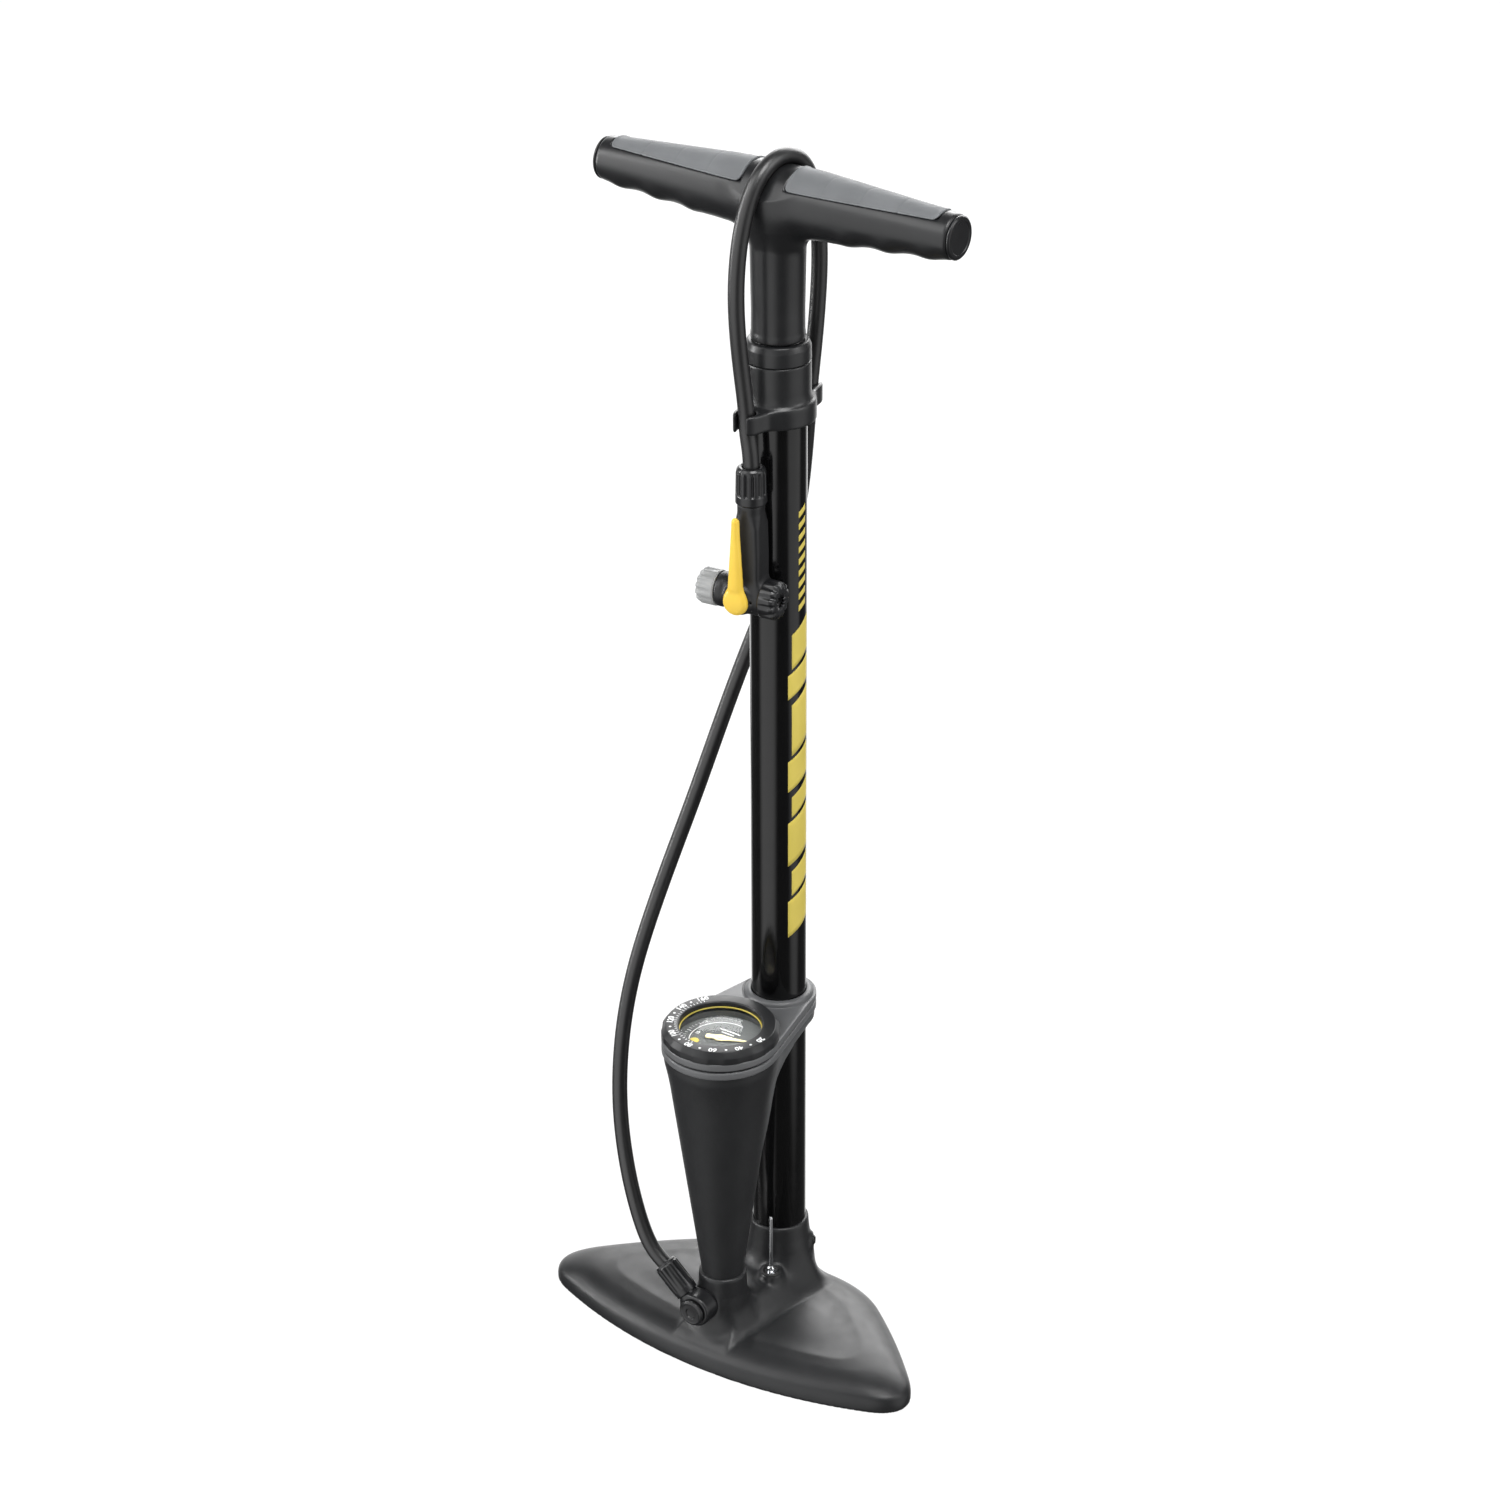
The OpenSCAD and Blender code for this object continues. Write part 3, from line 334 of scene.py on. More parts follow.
def surface_net(field, low, high, step, relax=2):
    """The surface on which field is 0, as points and quads, with the points moved onto it."""
    low = np.asarray(low, float) - 1.5 * step
    count = np.ceil((np.asarray(high, float) + 1.5 * step - low) / step).astype(int) + 1
    values = np.empty(count)
    ys, zs = low[1] + step * np.arange(count[1]), low[2] + step * np.arange(count[2])
    plane = np.stack(np.meshgrid([0.0], ys, zs, indexing="ij"), -1).reshape(-1, 3)
    for i in range(count[0]):
        plane[:, 0] = low[0] + step * i
        values[i] = field(plane).reshape(count[1:])
    cells = count - 1
    total = np.zeros((cells.prod(), 3))
    hits = np.zeros(cells.prod())
    quads = []
    for a in range(3):
        b, c = (a + 1) % 3, (a + 2) % 3
        near = [slice(None)] * 3
        far = [slice(None)] * 3
        near[a], far[a] = slice(0, -1), slice(1, None)
        d0, d1 = values[tuple(near)], values[tuple(far)]
        index = np.argwhere((d0 < 0) != (d1 < 0))
        v0, v1 = d0[tuple(index.T)], d1[tuple(index.T)]
        spot = low + step * index
        spot[:, a] += step * v0 / (v0 - v1)
        quad = []
        for db, dc in ((-1, -1), (0, -1), (0, 0), (-1, 0)):
            cell = index.copy()
            cell[:, b] += db
            cell[:, c] += dc
            flat = np.ravel_multi_index(cell.T, cells)
            quad.append(flat)
            for k in range(3):
                total[:, k] += np.bincount(flat, spot[:, k], len(total))
            hits += np.bincount(flat, minlength=len(total))
        quad = np.stack(quad, 1)
        quad[v0 > 0] = quad[v0 > 0][:, ::-1]
        quads.append(quad)
    quads = np.concatenate(quads)
    used = np.flatnonzero(hits)
    number = -np.ones(len(total), int)
    number[used] = np.arange(len(used))
    points = total[used] / hits[used][:, None]
    quads = number[quads]

    def settle(points):
        h = 0.02
        value = field(points)
        slope = np.stack([field(points + h * e) - field(points - h * e) for e in np.eye(3)], 1) / (2 * h)
        move = -value[:, None] * slope / np.maximum((slope ** 2).sum(1), 0.05)[:, None]
        size = np.linalg.norm(move, axis=1)[:, None]
        return points + move * np.minimum(1, 0.7 * step / np.maximum(size, 1e-9))

    points = settle(settle(points))
    edges = np.concatenate([quads[:, [i, (i + 1) % 4]] for i in range(4)])
    for _ in range(relax):
        around = np.zeros_like(points)
        for k in range(3):
            around[:, k] = np.bincount(edges[:, 0], points[edges[:, 1], k], len(points))
            around[:, k] += np.bincount(edges[:, 1], points[edges[:, 0], k], len(points))
        share = np.bincount(edges.ravel(), minlength=len(points))
        points = settle(mix(points, around / share[:, None], 0.5))
    return settle(points), quads


def cast(name, field, low, high, steps, body, finish, replaces, at=None):
    coarse, fine = steps
    points, faces = surface_net(field, low, high, fine)
    return make(name, points, faces, body, finish, replaces, at)


# ---- materials

def shader(name):
    mat = bpy.data.materials.new(name)
    mat.use_nodes = True
    tree = mat.node_tree
    return mat, tree, tree.nodes["Principled BSDF"]


by_slot = {}


def finish(slot, material):
    """A slot and its material. A slot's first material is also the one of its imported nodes."""
    by_slot.setdefault(slot, material)
    return slot, material


def noise(tree, place, scale, detail=3.0, rough=0.5):
    node = add(tree, "ShaderNodeTexNoise", Scale=scale, Detail=detail, Roughness=rough)
    tree.links.new(place, node.inputs["Vector"])
    return node.outputs["Fac"]


def times(tree, a, b):
    """The product of a socket with a socket or a number."""
    node = add(tree, "ShaderNodeMath", operation="MULTIPLY")
    tree.links.new(a, node.inputs[0])
    if isinstance(b, float):
        node.inputs[1].default_value = b
    else:
        tree.links.new(b, node.inputs[1])
    return node.outputs[0]


def blend(tree, share, under, over):
    """A colour laid over another, by a share from 0 to 1. The lower one may be a socket."""
    node = tree.nodes.new("ShaderNodeMix")
    node.data_type = "RGBA"
    tree.links.new(share, node.inputs["Factor"])
    if isinstance(under, tuple):
        node.inputs["A"].default_value = (*under, 1)
    else:
        tree.links.new(under, node.inputs["A"])
    node.inputs["B"].default_value = (*over, 1)
    return node.outputs["Result"]


def bump(tree, place, scale, strength, distance, detail, rough=0.5):
    node = add(tree, "ShaderNodeBump", Strength=strength, Distance=distance)
    tree.links.new(noise(tree, place, scale, detail, rough), node.inputs["Height"])
    return node


# Sizes of the noise, in cycles per metre: colour clouds, uneven gloss, and the patches of paler edges,
# which are partly wear and partly a painted highlight.
CLOUD, GLOSS, PATCH = 45, 130, 420
EDGE_WEAR_AND_SHEEN, PATCH_WEAR_AND_SHEEN = (0.52, 0.62), (0.35, 0.65)


def surface(name, dark, light, rough, slot=None, grain=(2600, 0.06), ripple=(60, 0.02), metal=0.0,
            specular=0.5, wear_and_sheen=0.0, wear_and_sheen_colour=None, fade=None):
    """A moulded, painted or metal surface: clouded colour, uneven gloss, fine grain, paler edges that are
    partly wear and partly a painted edge highlight, and, where asked, one side painted lighter as painted
    light.
    """
    mat, tree, base = shader(name)
    place = tree.nodes.new("ShaderNodeTexCoord").outputs["Object"]
    colour = blend(tree, spread(tree, noise(tree, place, CLOUD, 4), 0, 1), dark, light)
    # fade lays a lighter colour past a span along one object axis: painted light, standing for a side that
    # the lamps light.
    if fade:
        axis, beyond, start, end = fade
        parts = tree.nodes.new("ShaderNodeSeparateXYZ")
        tree.links.new(place, parts.inputs[0])
        colour = blend(tree, spread(tree, parts.outputs[axis], 0, 1, (start, end)), colour, beyond)
    # The convex edges, found by pointiness, are painted paler in noisy patches: partly wear, partly a
    # painted highlight along the edges.
    if wear_and_sheen:
        bend = tree.nodes.new("ShaderNodeNewGeometry").outputs["Pointiness"]
        edge = spread(tree, bend, 0, 1, EDGE_WEAR_AND_SHEEN)
        patch = spread(tree, noise(tree, place, PATCH, 4), 0, 1, PATCH_WEAR_AND_SHEEN)
        paler = wear_and_sheen_colour or tuple(min(1, 2.2 * v + 0.02) for v in light)
        colour = blend(tree, times(tree, times(tree, edge, patch), wear_and_sheen), colour, paler)
    tree.links.new(colour, base.inputs["Base Color"])
    tree.links.new(spread(tree, noise(tree, place, GLOSS, 5), *rough), base.inputs["Roughness"])
    base.inputs["Metallic"].default_value = metal
    base.inputs["Specular IOR Level"].default_value = specular
    fine = bump(tree, place, *grain, 0.0002, 3, 0.6)
    wide = bump(tree, place, *ripple, 0.002, 2)
    tree.links.new(wide.outputs["Normal"], fine.inputs["Normal"])
    tree.links.new(fine.outputs["Normal"], base.inputs["Normal"])
    return finish(slot or name, mat)


def glass(name):
    mat, tree, base = shader(name)
    base.inputs["Base Color"].default_value = (1, 1, 1, 1)
    base.inputs["Transmission Weight"].default_value = 1.0
    base.inputs["IOR"].default_value = 1.12
    place = tree.nodes.new("ShaderNodeTexCoord").outputs["Object"]
    tree.links.new(spread(tree, noise(tree, place, 300, 4), 0.02, 0.06), base.inputs["Roughness"])
    return finish("lens", mat)


moulded = surface("moulded", (0.0105, 0.0110, 0.0120), (0.0145, 0.0150, 0.0160), (0.36, 0.44),
                  slot="moulded_plastic", grain=(2400, 0.16), ripple=(45, 0.03), wear_and_sheen=0.35, specular=0.42)
handle_plastic = surface("handle_plastic", (0.0085, 0.0088, 0.0097), (0.0115, 0.0119, 0.0128),
                         (0.32, 0.37), slot="moulded_plastic", grain=(2400, 0.02), ripple=(45, 0.0),
                         wear_and_sheen=0.15, specular=0.5)
# Toward the barrel the post is painted lighter: painted light where the web's side catches the light from
# the right.
post_plastic = surface("post_plastic", (0.0115, 0.0120, 0.0130), (0.0150, 0.0155, 0.0165),
                       (0.42, 0.52), slot="moulded_plastic", grain=(2600, 0.14), ripple=(40, 0.03),
                       wear_and_sheen=0.3, specular=0.4, fade=(1, (0.075, 0.077, 0.080), -0.050, -0.034))
black_plastic = surface("black_plastic", (0.0070, 0.0072, 0.0082), (0.0095, 0.0098, 0.0108),
                        (0.27, 0.34), grain=(2800, 0.03), wear_and_sheen=0.5, specular=0.55)
head_plastic = surface("head_plastic", (0.0080, 0.0082, 0.0092), (0.0105, 0.0108, 0.0118), (0.38, 0.46),
                       slot="black_plastic", grain=(2600, 0.05), wear_and_sheen=0.5, specular=0.45)
bezel_plastic = surface("bezel_plastic", (0.0120, 0.0125, 0.0135), (0.0150, 0.0155, 0.0165),
                        (0.34, 0.44), slot="black_plastic", grain=(3000, 0.10), wear_and_sheen=0.2, specular=0.35)
bracket_grey = surface("bracket_grey", (0.082, 0.084, 0.087), (0.098, 0.100, 0.103), (0.34, 0.44),
                       slot="bracket_plastic", grain=(2400, 0.14), wear_and_sheen=0.25, specular=0.5)
cap_grey = surface("cap_grey", (0.250, 0.255, 0.255), (0.285, 0.290, 0.290), (0.40, 0.50),
                   slot="cap_plastic", grain=(2400, 0.12), wear_and_sheen=0.15)
# The pads' rims are painted paler than the rubber: a painted highlight where their edges catch the light,
# partly wear.
pad_rubber = surface("pad_rubber", (0.120, 0.125, 0.130), (0.145, 0.151, 0.157), (0.56, 0.66),
                     grain=(1900, 0.12), specular=0.25, wear_and_sheen=0.6, wear_and_sheen_colour=(0.26, 0.27, 0.28))
rubber = surface("rubber", (0.010, 0.010, 0.010), (0.014, 0.014, 0.014), (0.55, 0.7),
                 slot="black_rubber", grain=(2200, 0.2))
hose_rubber = surface("hose_rubber", (0.0060, 0.0060, 0.0065), (0.0085, 0.0085, 0.0090), (0.36, 0.42),
                      grain=(900, 0.01), ripple=(30, 0.01), specular=0.75)
barrel_paint = surface("barrel_paint", (0.0020, 0.0020, 0.0022), (0.0028, 0.0028, 0.0030), (0.12, 0.18),
                       grain=(700, 0.03), ripple=(30, 0.02), specular=0.45)
yellow = surface("yellow", (0.66, 0.435, 0.036), (0.72, 0.49, 0.050), (0.34, 0.44),
                 slot="yellow_plastic", grain=(2400, 0.08))
needle_cream = surface("needle_cream", (0.86, 0.76, 0.44), (0.90, 0.80, 0.48), (0.4, 0.5),
                       slot="yellow_plastic", grain=(2400, 0.06))
print_yellow = surface("print_yellow", (0.54, 0.435, 0.065), (0.60, 0.48, 0.080), (0.40, 0.52),
                       slot="yellow_plastic", grain=(1800, 0.12))
dial_paint = surface("dial_paint", (0.105, 0.112, 0.110), (0.135, 0.142, 0.140), (0.45, 0.55),
                     grain=(1500, 0.05), specular=0.2)
print_white = surface("print_white", (0.86, 0.87, 0.87), (0.90, 0.91, 0.91), (0.45, 0.6),
                      slot="dial_paint", grain=(1800, 0.12))
steel = surface("steel", (0.23, 0.235, 0.24), (0.26, 0.265, 0.27), (0.38, 0.42),
                metal=1.0, grain=(900, 0.0), ripple=(60, 0.0))
chrome = surface("chrome", (0.72, 0.73, 0.75), (0.78, 0.79, 0.81), (0.06, 0.12),
                 metal=1.0, grain=(900, 0.02))
black_steel = surface("black_steel", (0.02, 0.02, 0.02), (0.03, 0.03, 0.03), (0.3, 0.4),
                      metal=0.6, wear_and_sheen=0.5)
brass = surface("brass", (0.60, 0.42, 0.16), (0.68, 0.49, 0.20), (0.24, 0.36),
                metal=1.0, grain=(900, 0.08))
lens_glass = glass("lens_glass")


# ---- hose

BARREL_R, BARREL_FOOT, BARREL_TOP = 15.0, 29.0, 572.0
HOSE_R = 4.25
ELBOW = np.array([-3.5, -73.85, 33.0])
ELBOW_ANGLE = math.radians(42)
NUT_DIR = np.array([-math.cos(ELBOW_ANGLE), 0, math.sin(ELBOW_ANGLE)])
HEAD = np.array([0.8, -25.6, 451.0])
HEAD_TURN = math.radians(6)
HANDLE_Z = 658.5

ROUTE = np.array([
    ELBOW + 23 * NUT_DIR, ELBOW + 31 * NUT_DIR,
    (-36, -74, 61), (-46, -71, 77), (-56, -66, 97), (-64.7, -59.8, 120), (-71.2, -52.4, 145),
    (-75, -42.6, 175), (-74.8, -32.1, 205), (-71.4, -20.2, 235), (-65, -8.9, 268), (-57.1, 1.4, 302),
    (-49.5, 10.7, 336), (-41.1, 18.6, 370), (-31, 26, 405), (-19, 31, 440), (-9, 32, 475),
    (-3, 29, 510), (1.8, 25.4, 541), (2.5, 25.5, 552), (3.6, 28, 575), (4.4, 30, 600),
    (4.8, 30.5, 622), (4.6, 28.5, 643), (4, 24, 661), (3, 16, 674.5), (1.5, 1, 680.5),
    (0, -15, 675), (-2, -23.6, 661), (-3.8, -28, 643), (-4.6, -30.2, 622),
    (-4.6, -29.8, 600), (-3.6, -27.6, 575), (-1.9, -25.4, 552), (-1.8, -25.4, 541),
    HEAD + (0, 0, 78), HEAD + (0, 0, 64),
], float)


def along(route, steps):
    """Points along the smooth curve through the route, as in part.scad."""
    last = len(route) - 1
    line = []
    for i in range(last):
        a, b, c, d = route[max(i - 1, 0)], route[i], route[i + 1], route[min(i + 2, last)]
        for s in range(steps):
            t = s / steps
            line.append(0.5 * (2 * b + (c - a) * t + (2 * a - 5 * b + 4 * c - d) * t ** 2
                               + (3 * b - a - 3 * c + d) * t ** 3))
    line.append(route[last])
    return np.array(line)


def evened(line, rounds):
    """A line with its small kinks smoothed away, its ends and ends' directions kept."""
    line = line.copy()
    for _ in range(rounds):
        line[3:-3] = 0.5 * line[3:-3] + 0.25 * (line[2:-4] + line[4:-2])
    return line


hose_line = evened(along(ROUTE, 8), 24)
hose = make("air_hose", *swept(hose_line, HOSE_R, 24), None, hose_rubber, ["hose"])
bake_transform(hose)


# ---- foot plate

POST_Y = 55.5
FRONT_R, FRONT_Y, BACK_Y = 282.0, 84.5, 23.0
FLANK_R, FLANK_OUT, FLANK_DIR, FLANK_SLIDE = 390.0, 45.6, math.radians(52.4), 43.0
FLANK_CENTRE = ((FLANK_OUT - FLANK_R) * math.cos(FLANK_DIR) + FLANK_SLIDE * math.sin(FLANK_DIR),
                (FLANK_OUT - FLANK_R) * math.sin(FLANK_DIR) - FLANK_SLIDE * math.cos(FLANK_DIR))
CORNER = 26.0
RIM_Z, SHOULDER_Z, SHOULDER_RUN, CROWN = 5.0, 13.6, 15.0, 2.8
SPINE_RISE, SKIN, RIB = 11.0, 3.0, 2.2
MARGIN_IN, TREAD_IN = 3.0, 21.0
SOCKET_RIM, COLLAR_R, COLLAR_RIM = 55.0, 13.35, 50.0
BUSH = np.array([10.5, -23.5, 0.0])
LUG_ANGLES = (math.radians(30), math.radians(150))
RIBS_X, RIBS_Y = (30, 60, 90), (-62, -30, 0)


def edge_in(x, y):
    """How far a point lies inside the plate's outline."""
    front = FRONT_R - np.hypot(x, y + FRONT_Y - FRONT_R)
    flank = FLANK_R - np.hypot(np.abs(x) - FLANK_CENTRE[0], y - FLANK_CENTRE[1])
    return soft_min(soft_min(front, flank, CORNER), BACK_Y - y, CORNER / 2)


def plate_z(x, y, d, spine_rise=SPINE_RISE):
    """Height of the plate's skin, with its spine and its two footpads."""
    bend = 1 - np.clip(d / SHOULDER_RUN, 0, 1)
    top_w = np.interp(y, [-76, -60, -48, -20], [16.5, 12.5, 11, 15.5])
    foot_w = np.interp(y, [-78, -62, -45, -15, 7], [18.5, 21.5, 24.7, 29.2, 31.5])
    share = np.clip((foot_w - np.abs(x)) / (foot_w - top_w), 0, 1)
    share = share - 0.06 * np.sin(2 * np.pi * share)
    nose = np.interp(y, [-79, -74, -52, -46], [0, 0.12, 0.92, 1])
    spine = share * nose * step_up((15 - y) / 14)
    margin = CROWN * np.clip((d - MARGIN_IN) / (TREAD_IN - MARGIN_IN), 0, 1)
    centre = 1.6 * step_up((d - TREAD_IN - 4) / 26)
    return mix(RIM_Z, SHOULDER_Z, np.sqrt(1 - bend ** 2)) + margin + centre + spine_rise * spine


def base_field(p):
    x, y, z = p.T
    d = edge_in(x, y)
    skin = (z - plate_z(x, y, np.maximum(d, 0))) * 0.85
    outer = soft_max(skin, -d, 2.0)
    r = np.hypot(x, y)
    socket_r = np.interp(z, [26, 31, 38, 46, SOCKET_RIM], [20.2, 19.8, 18.4, 17.2, 16.45])
    socket = soft_max((r - socket_r) * 0.95, z - SOCKET_RIM, 1.2)
    outer = soft_min(outer, socket, 9.0)
    post_r = np.hypot(x, y + POST_Y)
    collar_r = np.interp(z, [22, 30, 38, COLLAR_RIM], [15.6, 14.4, COLLAR_R + 0.1, COLLAR_R])
    collar = soft_max((post_r - collar_r) * 0.95, z - COLLAR_RIM, 1.4)
    outer = soft_min(outer, collar, 6.0)
    seat = drum(p, (ELBOW[0], -POST_Y, ELBOW[2]), -Y, 9.4, 0, 11.8, 0.5)
    outer = soft_min(outer, seat, 3.0)
    boss = drum(p, BUSH, Z, 5.6, 10, 33.0, 0.6)
    outer = soft_min(outer, boss, 4.0)
    for angle in LUG_ANGLES:
        lug = drum(p, (0, 0, 38), (math.cos(angle), math.sin(angle), 0), 4.6, 15, 19.2, 0.5)
        outer = soft_min(outer, lug, 2.5)
    hollow = np.maximum(z - plate_z(x, y, np.maximum(d - SKIN, 0), 0) + SKIN, SKIN - d)
    hollow = np.maximum(hollow, 19.0 - r)
    hollow = np.maximum(hollow, 12.6 - post_r)
    hollow = np.maximum(hollow, 5.4 - np.hypot(x - BUSH[0], y - BUSH[1]))
    for at in RIBS_X:
        hollow = np.maximum(hollow, RIB / 2 - np.abs(np.abs(x) - at))
    for at in RIBS_Y:
        hollow = np.maximum(hollow, RIB / 2 - np.abs(y - at))
    hollow = soft_min(hollow, np.maximum(r - 11.05, z - 12), 0.8)
    hollow = soft_min(hollow, np.maximum(post_r - 9.05, z - 14), 0.8)
    hollow = soft_min(hollow, soft_max(np.hypot(x - BUSH[0], y - BUSH[1]) - 2.3, 20 - z, 0.5), 0.5)
    return soft_max(soft_max(outer, -hollow, 0.8), -z, 0.8)


base_points, base_faces = surface_net(base_field, (-118, -86, 0), (118, 24, 55), 1.25)
base_points[:, 2] = np.maximum(base_points[:, 2], 0)
make("foot_plate", base_points, base_faces, "base", moulded, ["base_shell"])


# ---- barrel, cap, clip

# The barrel is one clean tube; its print is a row of plain slanted bars.
lathe("barrel_tube", [(13.75, BARREL_FOOT, 0), (BARREL_R, BARREL_FOOT, 0.3), (BARREL_R, 200, 0),
      (BARREL_R, 400, 0), (BARREL_R, BARREL_TOP, 0.3), (13.75, BARREL_TOP, 0)], "base",
      barrel_paint, ["barrel"], sides=128)


def barrel_patch(corners, lift=0.06, thick=0.05, steps=8):
    """A thin patch of print on the barrel. Its four corners are (arc, height) in millimetres."""
    a, b, c, d = (np.array(v, float) for v in corners)
    points, faces = [], []
    for layer in (lift, lift - thick):
        radius = BARREL_R + layer
        for i in range(steps + 1):
            for j in range(steps + 1):
                spot = mix(mix(a, b, i / steps), mix(d, c, i / steps), j / steps)
                angle = spot[0] / BARREL_R
                points.append((radius * math.cos(angle), radius * math.sin(angle), spot[1]))

    def at(layer, i, j):
        return (layer * (steps + 1) + i) * (steps + 1) + j

    for i in range(steps):
        for j in range(steps):
            faces.append((at(0, i, j), at(0, i + 1, j), at(0, i + 1, j + 1), at(0, i, j + 1)))
            faces.append((at(1, i, j), at(1, i, j + 1), at(1, i + 1, j + 1), at(1, i + 1, j)))
    rim = ([(i, 0) for i in range(steps)] + [(steps, j) for j in range(steps)]
           + [(i, steps) for i in range(steps, 0, -1)] + [(0, j) for j in range(steps, 0, -1)])
    for (i, j), (k, m) in zip(rim, rim[1:] + rim[:1]):
        faces.append((at(1, i, j), at(1, k, m), at(0, k, m), at(0, i, j)))
    return points, faces


# The bold bars' heights, from the lowest up.
BARS = (22, 15, 26, 12, 18, 30, 14, 20)
BARS_FOOT, BAR_GAP, BAR_SLANT = 243.0, 3.4, 9.0
BAR_LEFT, BAR_RIGHT, BAR_INSET = -9.5, 5.5, 2.2
FINE_BARS, FINE_STEP, FINE_LEFT, FINE_RIGHT = 9, 6.6, -3.0, 2.6


def stripes():
    """Slanted bars up the barrel's right side: a bold run, then a short fine run."""
    parts = []
    foot = BARS_FOOT
    for i, tall in enumerate(BARS):
        left = BAR_LEFT + (BAR_INSET if i % 2 else 0.0)
        parts.append(barrel_patch([(left, foot), (BAR_RIGHT, foot + BAR_SLANT),
                                   (BAR_RIGHT, foot + tall + BAR_SLANT), (left, foot + tall)]))
        foot += tall + BAR_GAP
    for i in range(FINE_BARS):
        parts.append(barrel_patch([(FINE_LEFT, foot + 9), (FINE_RIGHT, foot + 12.2),
                                   (FINE_RIGHT, foot + 15.6), (FINE_LEFT, foot + 12.4)]))
        foot += FINE_STEP
    return joined(parts)


make("barrel_stripes", *stripes(), "base", print_yellow)

CLIP_FOOT, CLIP_TOP, CAP_TOP = 541.0, 573.0, 584.0
CLIP_R = 17.05
HOOK_TURN, HOOK_OUT = math.radians(-4), 25.5
HOOK_AT = [HOOK_OUT * np.array([math.cos(angle), math.sin(angle), 0])
           for angle in (HOOK_TURN - math.pi / 2, HOOK_TURN + math.pi / 2)]


def clip_field(p):
    x, y, z = p.T
    r = np.hypot(x, y)
    sleeve = soft_max(r - np.interp(z, [549, 557, 573], [CLIP_R + 0.6, CLIP_R, CLIP_R]), z - CLIP_TOP, 1.0)
    flange = r - 19.4
    for hook in HOOK_AT:
        away = np.hypot(x - hook[0], y - hook[1]) - 7.0
        flange = soft_min(flange, away, 12)
    flange = soft_max(flange, np.abs(z - (CLIP_FOOT + 5.2)) - 5.2, 1.6)
    body = soft_min(sleeve, flange, 4.0)
    for hook in HOOK_AT:
        out = hook / np.linalg.norm(hook)
        side = np.array([-out[1], out[0], 0])
        d = p - hook
        channel = np.hypot(x - hook[0], y - hook[1]) - 4.8
        mouth = np.maximum(np.abs(d @ side) - 3.6, -(d @ out))
        body = soft_max(body, -soft_min(channel, mouth, 1.2), 1.0)
    body = np.maximum(body, CLIP_FOOT - z)
    return soft_max(body, 14.4 - r, 0.4)


cast("hose_clip_body", clip_field, (-36, -36, CLIP_FOOT), (36, 36, CLIP_TOP), (1.4, 0.75), "base",
     handle_plastic, ["hose_clip"])

lathe("barrel_cap_body", [(8.6, 555, 0.3), (13.7, 556, 0.3), (13.7, CLIP_TOP + 0.05, 0.1),
      (CLIP_R - 0.5, CLIP_TOP + 0.15, 0.2), (CLIP_R + 0.05, CLIP_TOP + 0.7, 0.5),
      (CLIP_R - 0.1, CAP_TOP - 3.4, 1.4), (15.6, CAP_TOP - 0.2, 1.2), (13.4, CAP_TOP, 0.8),
      (11.8, CAP_TOP - 0.6, 0.5), (8.6, CAP_TOP - 1.2, 0.4), (8.6, CAP_TOP - 8, 0)], "base",
      handle_plastic, ["barrel_cap"], sides=128)


# ---- gauge post and bracket

POST_TOP, BAND_T, GASKET_T = 192.0, 4.4, 1.0
BAND_TOP = POST_TOP + 2 * BAND_T + GASKET_T
BAND_R, RING_R = 32.0, 20.55


def teardrop(x, y, post_r, barrel_r):
    """Distance from the outline that runs round the post's top and round the barrel."""
    slope = (post_r - barrel_r) / POST_Y
    lean = np.sqrt(1 - slope ** 2)
    across, ahead = np.abs(x), y + POST_Y
    along_flank = lean * ahead - slope * across
    at_post = np.hypot(across, ahead) - post_r
    at_barrel = np.hypot(across, ahead - POST_Y) - barrel_r
    flank = lean * across + slope * ahead - post_r
    return np.where(along_flank < 0, at_post, np.where(along_flank > lean * POST_Y, at_barrel, flank))


def post_field(p):
    x, y, z = p.T
    post_r = np.hypot(x, y + POST_Y)
    cone_r = np.interp(z, [40, 50, 188, 192], [11.4, 11.6, 30, 30])
    cone = soft_max((post_r - cone_r) * 0.98, np.abs(z - 116) - 76, 0.8)
    # the web's lower edge sweeps from under the barrel ring down the cone's back
    edge = np.interp(y, [-60, -40, -36, -33, -28, -17, 0, 25], [120, 142, 160, 170, 178, 183.6, 186, 186])
    web_r = np.maximum(cone_r - np.interp(z, [168, 186], [5.4, 1.0]), 5)
    web = soft_max(teardrop(x, y, web_r, RING_R - 1), (edge - z) * 0.6, 1.2)
    web = soft_max(web, z - POST_TOP, 0.5)
    solid = soft_min(cone, web, 5.0)
    well = np.maximum(post_r - 25.4, 176 - z)
    return soft_max(soft_max(solid, -well, 0.4), BARREL_R + 0.1 - np.hypot(x, y), 0.4)


cast("post_cone", post_field, (-31, -88, 40), (31, 21, 192), (2.2, 1.2), "base",
     post_plastic, ["gauge_post"])


